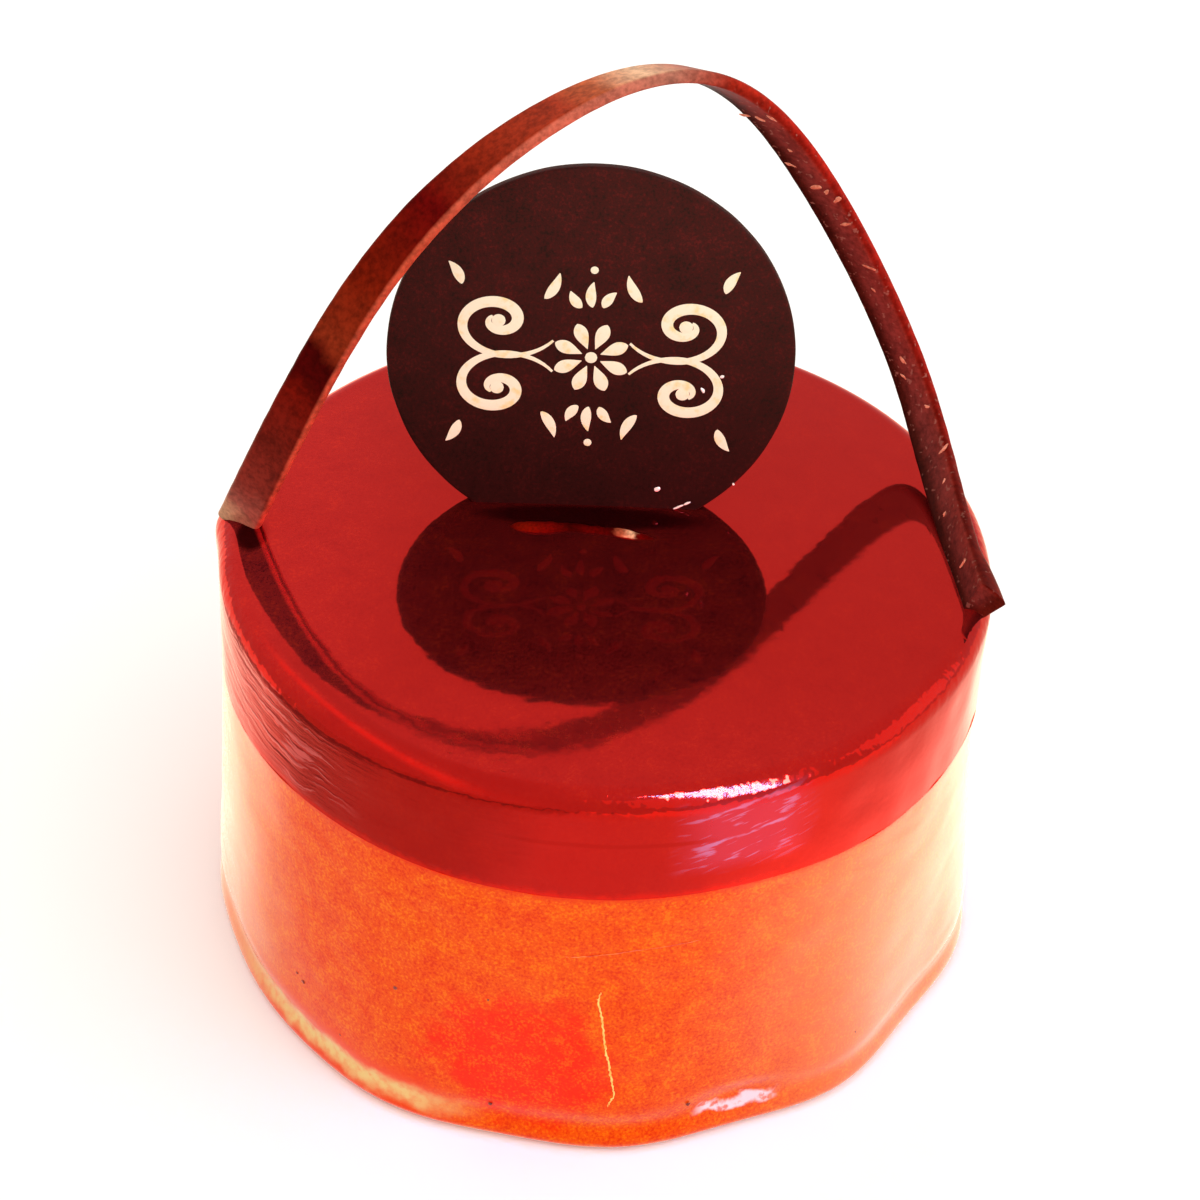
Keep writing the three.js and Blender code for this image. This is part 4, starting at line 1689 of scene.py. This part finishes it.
@dataclass(frozen=True)
class Ornament:
    """A printed ornament in the plaque's plane, as strokes that swell and taper."""

    petals: int = 8
    petal_inner: float = 0.9 * MM
    petal_outer: float = 3.5 * MM
    petal_width: float = 0.62 * MM
    heart: float = 0.55 * MM
    scroll_middle: Pair = (8.3 * MM, 3.3 * MM)
    scroll_from: float = math.radians(205)
    scroll_by: float = math.radians(560)
    scroll_start: float = 5.4 * MM
    scroll_end: float = 0.75 * MM
    scroll_squash: float = 0.78
    scroll_width: float = 0.52 * MM
    scroll_eye: float = 0.62 * MM
    leaf_width: float = 0.46 * MM
    leaf_curl: float = 0.7
    back_leaves: tuple[tuple[float, float, float, float], ...] = (
        (4.4 * MM, 5.5 * MM, 118, 3.0 * MM),
        (11.6 * MM, 6.6 * MM, 62, 2.6 * MM),
    )
    bud_foot: float = 4.8 * MM
    bud_leaves: tuple[tuple[float, float, float], ...] = (
        (0.0, 90, 2.6 * MM),
        (-0.9 * MM, 125, 2.0 * MM),
        (0.9 * MM, 55, 2.0 * MM),
    )
    bud_dot: Pair = (8.5 * MM, 0.36 * MM)
    leaf_points: int = 24
    dot_points: int = 16
    scroll_points: int = 90
    least: float = 0.03 * MM
    least_dot: float = 0.01 * MM
    least_scroll: float = 0.04 * MM

    def strokes(self) -> list[Stroke]:
        """All strokes.

        Returns:
            Points in the plaque's plane, with half the width at each.
        """
        strokes = [self.petal(2 * math.pi * (i + 0.5) / self.petals) for i in range(self.petals)]
        strokes.append(self.dot(0, 0, self.heart))
        for side in (-1, 1):
            for level in (-1, 1):
                strokes += [self.mirrored(stroke, side, level) for stroke in self.quarter()]
        for level in (-1, 1):
            strokes += [self.mirrored(stroke, 1, level) for stroke in self.bud()]
        return strokes

    def mirrored(self, stroke: Stroke, side: int, level: int) -> Stroke:
        """A stroke mirrored to the left or down."""
        return stroke[0] * np.array([side, 1, level]), stroke[1]

    def quarter(self) -> list[Stroke]:
        """The strokes of one quarter: a scroll with its ball, and two leaves on its back."""
        leaves = [self.leaf(*leaf) for leaf in self.back_leaves]
        return [self.scroll(), self.dot(*self.scroll_middle, self.scroll_eye), *leaves]

    def bud(self) -> list[Stroke]:
        """A bud of three leaves above the rosette, with a dot over it."""
        leaves = [self.leaf(x, self.bud_foot, turn, length) for x, turn, length in self.bud_leaves]
        return [*leaves, self.dot(0, *self.bud_dot)]

    def petal(self, turn: float) -> Stroke:
        """One petal of the rosette.

        Args:
            turn: Its direction.

        Returns:
            Its stroke.
        """
        share = np.linspace(0, 1, self.leaf_points)
        reach = self.petal_inner + (self.petal_outer - self.petal_inner) * share
        points = np.stack([reach * math.cos(turn), 0 * reach, reach * math.sin(turn)], axis=1)
        return points, self.petal_width * np.sin(math.pi * share**1.5) ** 0.7 + self.least

    def dot(self, x: float, z: float, radius: float) -> Stroke:
        """A round dot.

        Args:
            x: Its place to the right.
            z: Its place up.
            radius: Its radius.

        Returns:
            Its stroke.
        """
        share = np.linspace(-1, 1, self.dot_points)
        points = np.stack([x + radius * share, 0 * share, z + 0 * share], axis=1)
        return points, radius * np.sqrt(np.maximum(1 - share**2, 0)) + self.least_dot

    def scroll(self) -> Stroke:
        """A spiral about the scroll's middle that winds in and swells in between.

        Returns:
            Its stroke.
        """
        share = np.linspace(0, 1, self.scroll_points)
        turn = self.scroll_from + self.scroll_by * share
        reach = self.scroll_start * (self.scroll_end / self.scroll_start) ** share
        x = self.scroll_middle[0] + reach * np.cos(turn)
        z = self.scroll_middle[1] + self.scroll_squash * reach * np.sin(turn)
        width = self.scroll_width * np.sin(math.pi * np.clip(share * 0.94 + 0.03, 0, 1)) ** 0.8
        return np.stack([x, 0 * x, z], axis=1), width + self.least_scroll

    def leaf(self, x: float, z: float, turn_deg: float, length: float) -> Stroke:
        """A small curved leaf.

        Args:
            x: Its foot's place to the right.
            z: Its foot's place up.
            turn_deg: Its direction.
            length: Its length.

        Returns:
            Its stroke.
        """
        share = np.linspace(0, 1, self.leaf_points)
        turn = math.radians(turn_deg) - self.leaf_curl * (share - 0.5)
        step = length / len(share)
        right = x + np.cumsum(step * np.cos(turn))
        up = z + np.cumsum(step * np.sin(turn))
        points = np.stack([right, 0 * share, up], axis=1)
        return points, self.leaf_width * np.sin(math.pi * share**0.8) ** 0.9 + self.least


# ----------------------------------------------------------------------------------- the ribbon


@dataclass
class Ribbon:
    """The twisted chocolate strip, from the left rim over the plaque to the right rim."""

    width: float = 4.05 * MM
    thickness: float = 1.2 * MM
    edge_round: float = 0.46 * MM
    edge_steps: int = 5
    edge_angle: float = math.radians(40)
    foot_depth: float = 1.2 * MM
    end_flare: float = 0.9 * MM
    end_flare_length: float = 2.6 * MM
    end_corner: float = 2.2 * MM
    end_share: float = 0.01
    steps_along: int = 300
    steps_across: int = 8
    wear: Unevenness = Unevenness(0.012 * MM, 2.2 * MM, 21)
    path: tuple[tuple[float, float, float], ...] = (
        (-33.3, 0.6, 41.2),
        (-30.0, -5.3, 51.6),
        (-22.1, -0.2, 70.2),
        (-6.4, 7.2, 82.5),
        (7.0, 16.2, 82.8),
        (16.8, 18.4, 70.8),
        (28.9, 19.5, 47.0),
        (30.3, 9.3, 43.0),
        (33.0, -7.4, 42.4),
    )
    twist_deg: tuple[float, ...] = (-66, -61, -12, 85, 37, 100)
    scuffs: tuple[tuple[float, float, float, float], ...] = (
        (0.579, 0.80, 0.42, 0.16), (0.585, 0.05, 0.38, 0.2), (0.583, -0.75, 0.34, 0.16),
        (0.6275, -0.10, 0.2, 0.12), (0.643, 0.50, 0.34, 0.14), (0.6675, -0.05, 0.46, 0.18),
        (0.672, -0.55, 0.3, 0.13), (0.680, -0.88, 0.4, 0.16), (0.7025, -0.50, 0.4, 0.12),
        (0.7408, -0.65, 0.44, 0.12), (0.760, -0.2, 0.18, 0.1), (0.8225, -0.15, 0.3, 0.12),
        (0.8367, 0.20, 0.2, 0.1), (0.872, -0.6, 0.22, 0.1), (0.9167, -0.85, 0.4, 0.14),
        (0.9375, -0.40, 0.2, 0.1), (0.955, 0.1, 0.18, 0.12), (0.985, -0.20, 0.55, 0.11),
    )
    scuff_slant_deg: tuple[float, float, float] = (20, 50, 7)
    scuff_scale: float = 1.35 * MM
    scuff_height: float = 0.05 * MM

    def build(self) -> None:
        """Make and dress the strip and its scuffs."""
        hand_over(self.strip(), Slot.RIBBON, RibbonFinish().build(), "ribbon")
        hand_over(self.scuff_piece(), Slot.RIBBON, SCUFF.build())

    def strip(self) -> bpy.types.Object:
        """The strip, modelled straight and then bent along its path.

        Returns:
            The strip.
        """
        deselect_all()
        grid = {"x_subdivisions": self.steps_along, "y_subdivisions": self.steps_across, "size": 1.0}
        bpy.ops.mesh.primitive_grid_add(**grid)
        piece = new_piece("ribbon_strip")
        bpy.ops.object.mode_set(mode="EDIT")
        bpy.ops.mesh.select_all(action="SELECT")
        bpy.ops.transform.resize(value=(1.0, self.width, 1.0))
        bpy.ops.transform.translate(value=(0.5, 0, -self.thickness / 2))
        bpy.ops.mesh.extrude_region_move(TRANSFORM_OT_translate={"value": (0, 0, self.thickness)})
        side, face = self.width / 2, self.thickness / 2

        def long_corner(a: Vector, b: Vector) -> bool:
            """Whether an edge runs along one of the strip's four corners."""
            at_side = abs(abs(a.y) - side) < MERGE_DISTANCE and abs(a.y - b.y) < MERGE_DISTANCE
            return at_side and abs(abs(a.z) - face) < MERGE_DISTANCE and abs(a.z - b.z) < MERGE_DISTANCE

        bevel_edges(piece, long_corner, self.edge_round, self.edge_steps)
        straight = vertex_positions(piece)
        store(piece, "strip", straight / np.array([1, side, face]))
        move_vertices(piece, self.bent(*straight.T))
        close_and_smooth(piece, self.edge_angle)
        return piece

    def spline(self, controls: Points, shares: np.ndarray) -> Points:
        """Points of a smooth cubic curve that starts and ends at its end controls.

        Args:
            controls: The control points, one row each.
            shares: Where on the curve, from 0 to 1.

        Returns:
            One row for each share.
        """
        degree = 3
        least = 1e-9
        count = len(controls)
        spans = count - degree
        knots = np.clip(np.arange(count + degree + 1) - degree, 0, spans) / spans
        place = np.minimum(shares, 1 - least)
        weights = [((low <= place) & (place < high)).astype(float) for low, high in zip(knots, knots[1:])]
        for order in range(1, degree + 1):
            for i in range(len(weights) - order):
                rise = (place - knots[i]) / max(knots[i + order] - knots[i], least)
                fall = (knots[i + order + 1] - place) / max(knots[i + order + 1] - knots[i + 1], least)
                weights[i] = rise * weights[i] + fall * weights[i + 1]
        return np.stack(weights[:count], axis=1) @ controls

    def axes(self, shares: np.ndarray) -> tuple[Points, Points, Points, Points]:
        """The strip's middle, and its directions along, backward and outward.

        Args:
            shares: Where on the path, from 0 to 1.

        Returns:
            Four tables with one row for each share.
        """
        controls = np.array(self.path) * MM
        small = 1e-4
        middle = self.spline(controls, shares)
        before = self.spline(controls, np.maximum(shares - small, 0))
        after = self.spline(controls, np.minimum(shares + small, 1))
        along = (after - before) / np.linalg.norm(after - before, axis=1)[:, None]
        flat_back = np.array([0, 1, 0]) - along[:, 1:2] * along
        flat_back /= np.linalg.norm(flat_back, axis=1)[:, None]
        flat_out = np.cross(along, flat_back)
        turn = np.radians(self.spline(np.array(self.twist_deg)[:, None], shares))
        outward = np.cos(turn) * flat_out + np.sin(turn) * flat_back
        backward = np.cos(turn) * flat_back - np.sin(turn) * flat_out
        return middle, along, backward, outward

    def length(self) -> float:
        """Length of the strip's middle line."""
        middle = self.spline(np.array(self.path) * MM, np.linspace(0, 1, 400))
        return float(np.linalg.norm(np.diff(middle, axis=0), axis=1).sum())

    def bent(self, share: np.ndarray, back: np.ndarray, out: np.ndarray) -> Points:
        """Places of the straight strip's points on the bent one.

        Args:
            share: How far along the strip each point is, from 0 to 1.
            back: How far across to the back.
            out: How far out of the middle layer.

        Returns:
            One row for each point.
        """
        middle, along, backward, outward = self.axes(share)
        to_end = (1 - share) * self.length()
        outness = 0.5 + out / self.thickness
        flare = self.end_flare * (1 - smooth_step(to_end, 0, self.end_flare_length)) * outness
        at_end = np.clip(1 - (1 - share) / self.end_share, 0, 1)
        at_foot = np.clip(1 - share / self.end_share, 0, 1)
        slide = self.end_corner * outness * (0.5 - back / self.width) * at_end - self.foot_depth * at_foot
        flat = middle + backward * back[:, None]
        edge = (np.abs(back) / self.width * 2) ** 3 * np.sign(back)
        worn = self.wear.at(flat) * edge
        raised = outward * (out + flare)[:, None]
        return flat + backward * worn[:, None] + raised + along * slide[:, None]

    def scuff_piece(self) -> bpy.types.Object:
        """Pale scuffs where the strip's inner face was knocked.

        Returns:
            The scuffs as one mesh.
        """
        places = []
        for i, (share, across, length, width) in enumerate(self.scuffs):
            middle, along, backward, outward = (row[0] for row in self.axes(np.array([share])))
            point = middle + backward * across * self.width / 2 - outward * self.thickness / 2
            turn = Matrix(np.stack([along, backward, outward], axis=1)).to_4x4()
            usual, swing, pace = self.scuff_slant_deg
            slant = Matrix.Rotation(math.radians(usual + swing * math.sin(pace * i)), 4, "Z")
            half = (self.scuff_scale * width, self.scuff_scale * length, self.scuff_height)
            size = Matrix.Diagonal((*half, 1.0))
            places.append(Matrix.Translation(point) @ turn @ slant @ size)
        return scattered("ribbon_scuffs", places, roughness=0.22, seed=90)


# ----------------------------------------------------------------------------------- the studio


@dataclass(frozen=True)
class FloorFinish:
    """Pale floor that glows in a mirror, as a bright room would, with one dusky stretch."""

    main: Colour = (0.92, 0.91, 0.89, 1.0)
    gloss: Gloss = Gloss(roughness=0.7)
    glow: float = 1.1
    near_glow: Ramp = Ramp(72 * MM, 56 * MM, 0.8, 2.8)
    right: Ramp = Ramp(14 * MM, 56 * MM)
    left: Ramp = Ramp(-20 * MM, -45 * MM)
    left_behind: Ramp = Ramp(-22 * MM, 6 * MM, 0.0, 1.4)
    front: Ramp = Ramp(-20 * MM, -60 * MM, 0.0, 0.6)
    front_right: Ramp = Ramp(-40 * MM, -8 * MM)
    dusky: Band = Band(-112 * MM, -74 * MM, 8 * MM)
    dusky_front: Ramp = Ramp(42 * MM, 30 * MM, 0.0, 0.62)
    sideways: Ramp = Ramp(20 * MM, 50 * MM)
    tint: Colour = (1.0, 0.95, 0.88, 1.0)
    side_tint: Colour = (1.0, 0.82, 0.61, 1.0)

    def build(self) -> bpy.types.Material:
        """Make the material.

        Returns:
            The material.
        """
        material, sheet, shader = start_material("pale_floor", self.gloss)
        sheet.feed(shader.inputs["Base Color"], self.main)
        place = sheet.place()
        x, y, _ = sheet.split(place)
        right = sheet.product(sheet.ramp(x, self.right), sheet.ramp(sheet.reach(place), self.near_glow))
        left = sheet.product(sheet.ramp(x, self.left), sheet.ramp(y, self.left_behind))
        front = sheet.product(sheet.ramp(y, self.front), sheet.ramp(x, self.front_right))
        dusky = sheet.product(sheet.within(x, self.dusky), sheet.ramp(y, self.dusky_front))
        glow = sheet.product(sheet.total(right, left, front, self.glow), sheet.minus(1.0, dusky))
        sideways = sheet.ramp(sheet.math("ABSOLUTE", x), self.sideways)
        tint = sheet.blend(sideways, self.tint, self.side_tint)
        shown = sheet.add("ShaderNodeEmission", {"Color": tint, "Strength": glow}).outputs[0]
        feeds = {0: sheet.mirrored_ray(), 1: shader.outputs[0], 2: shown}
        mix = sheet.add("ShaderNodeMixShader", feeds).outputs[0]
        sheet.feed(sheet.tree.nodes["Material Output"].inputs["Surface"], mix)
        return material


@dataclass(frozen=True)
class SoftBox:
    """A rectangular lamp that faces the cake."""

    name: str
    place: tuple[float, float, float]
    width: float
    height: float
    watts: float

    def build(self, aim: Vector) -> bpy.types.Object:
        """Hang the lamp.

        Args:
            aim: The point that it faces.

        Returns:
            The lamp.
        """
        bpy.ops.object.light_add(type="AREA", location=self.place)
        lamp = bpy.context.object
        lamp.name = self.name
        lamp.data.shape = "RECTANGLE"
        lamp.data.size = self.width
        lamp.data.size_y = self.height
        lamp.data.energy = self.watts
        lamp.rotation_euler = (aim - Vector(self.place)).to_track_quat("-Z", "Y").to_euler()
        return lamp


@dataclass(frozen=True)
class Studio:
    """Floor, light and camera."""

    elevation: float = 0.677539
    roll: float = 0.0488548
    distance: float = 303.638 * MM
    aim: tuple[float, float, float] = (-0.3513 * MM, 0.0, 34.268 * MM)
    frame_pixels: float = 1200.0
    focal_pixels: float = 3306.479
    sensor_mm: float = 36.0
    clip: Pair = (0.01, 50.0)
    floor_size: float = 6.0
    sky_colour: Colour = (1.0, 0.985, 0.96, 1.0)
    sky_strength: float = 1.25
    lamps: tuple[SoftBox, ...] = (
        SoftBox("key", (0.30, -0.42, 0.45), 0.50, 0.50, 0.5),
        SoftBox("right_fill", (0.75, 0.05, 0.35), 0.5, 0.5, 0.7),
    )
    window: SoftBox = SoftBox("window", (0.238, -0.2515, 0.397), 0.115, 0.46, 70.0)
    window_colour: tuple[float, float, float] = (0.2, 0.33, 0.75)
    window_mirrors: tuple[str, ...] = ("glazed_body", "mousse_body", "plaque_drops")

    def build(self) -> None:
        """Set up the camera, the floor, the sky and the lamps."""
        scene = bpy.context.scene
        scene.view_settings.view_transform = "Standard"
        scene.camera = self.camera()
        self.floor()
        self.sky()
        for lamp in self.lamps:
            lamp.build(Vector(self.aim))
        self.window_light()

    def camera(self) -> bpy.types.Object:
        """The camera at the photograph's place and angle.

        Returns:
            The camera.
        """
        deselect_all()
        bpy.ops.object.camera_add()
        camera = bpy.context.object
        camera.name = "main_camera"
        camera.data.name = "main_camera"
        camera.data.sensor_width = self.sensor_mm
        camera.data.lens = self.focal_pixels / self.frame_pixels * self.sensor_mm
        camera.data.clip_start, camera.data.clip_end = self.clip
        back = Vector((0, -math.cos(self.elevation), math.sin(self.elevation)))
        tilt = Matrix.Rotation(math.pi / 2 - self.elevation, 4, "X")
        turn = Matrix.Rotation(self.roll, 4, "Z")
        camera.matrix_world = Matrix.Translation(Vector(self.aim) + back * self.distance) @ tilt @ turn
        return camera

    def floor(self) -> bpy.types.Object:
        """A wide pale floor.

        Returns:
            The floor.
        """
        deselect_all()
        bpy.ops.mesh.primitive_plane_add(size=self.floor_size)
        floor = new_piece("floor")
        floor.data.materials.append(FloorFinish().build())
        return floor

    def sky(self) -> None:
        """Even white light from all round."""
        world = bpy.data.worlds.new("soft_sky")
        bpy.context.scene.world = world
        world.use_nodes = True
        background = world.node_tree.nodes["Background"]
        background.inputs["Color"].default_value = self.sky_colour
        background.inputs["Strength"].default_value = self.sky_strength

    def window_light(self) -> None:
        """A bluish lamp that shows only as a reflection in the glaze and the drops."""
        window = self.window.build(Vector(self.aim))
        window.data.color = self.window_colour
        window.visible_diffuse = False
        mirrors = bpy.data.collections.new("mirrors_of_window")
        for name in self.window_mirrors:
            mirrors.objects.link(bpy.data.objects[name])
        window.light_linking.receiver_collection = mirrors


def main() -> None:
    """Build the cake and its studio."""
    logging.basicConfig(level=logging.INFO, format="%(name)s: %(message)s")
    drum = Drum()
    MousseLayer(drum).build()
    GlazedLayer(drum).build()
    Plaque().build()
    Ribbon().build()
    Studio().build()
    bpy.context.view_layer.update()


if __name__ == "__main__":
    main()
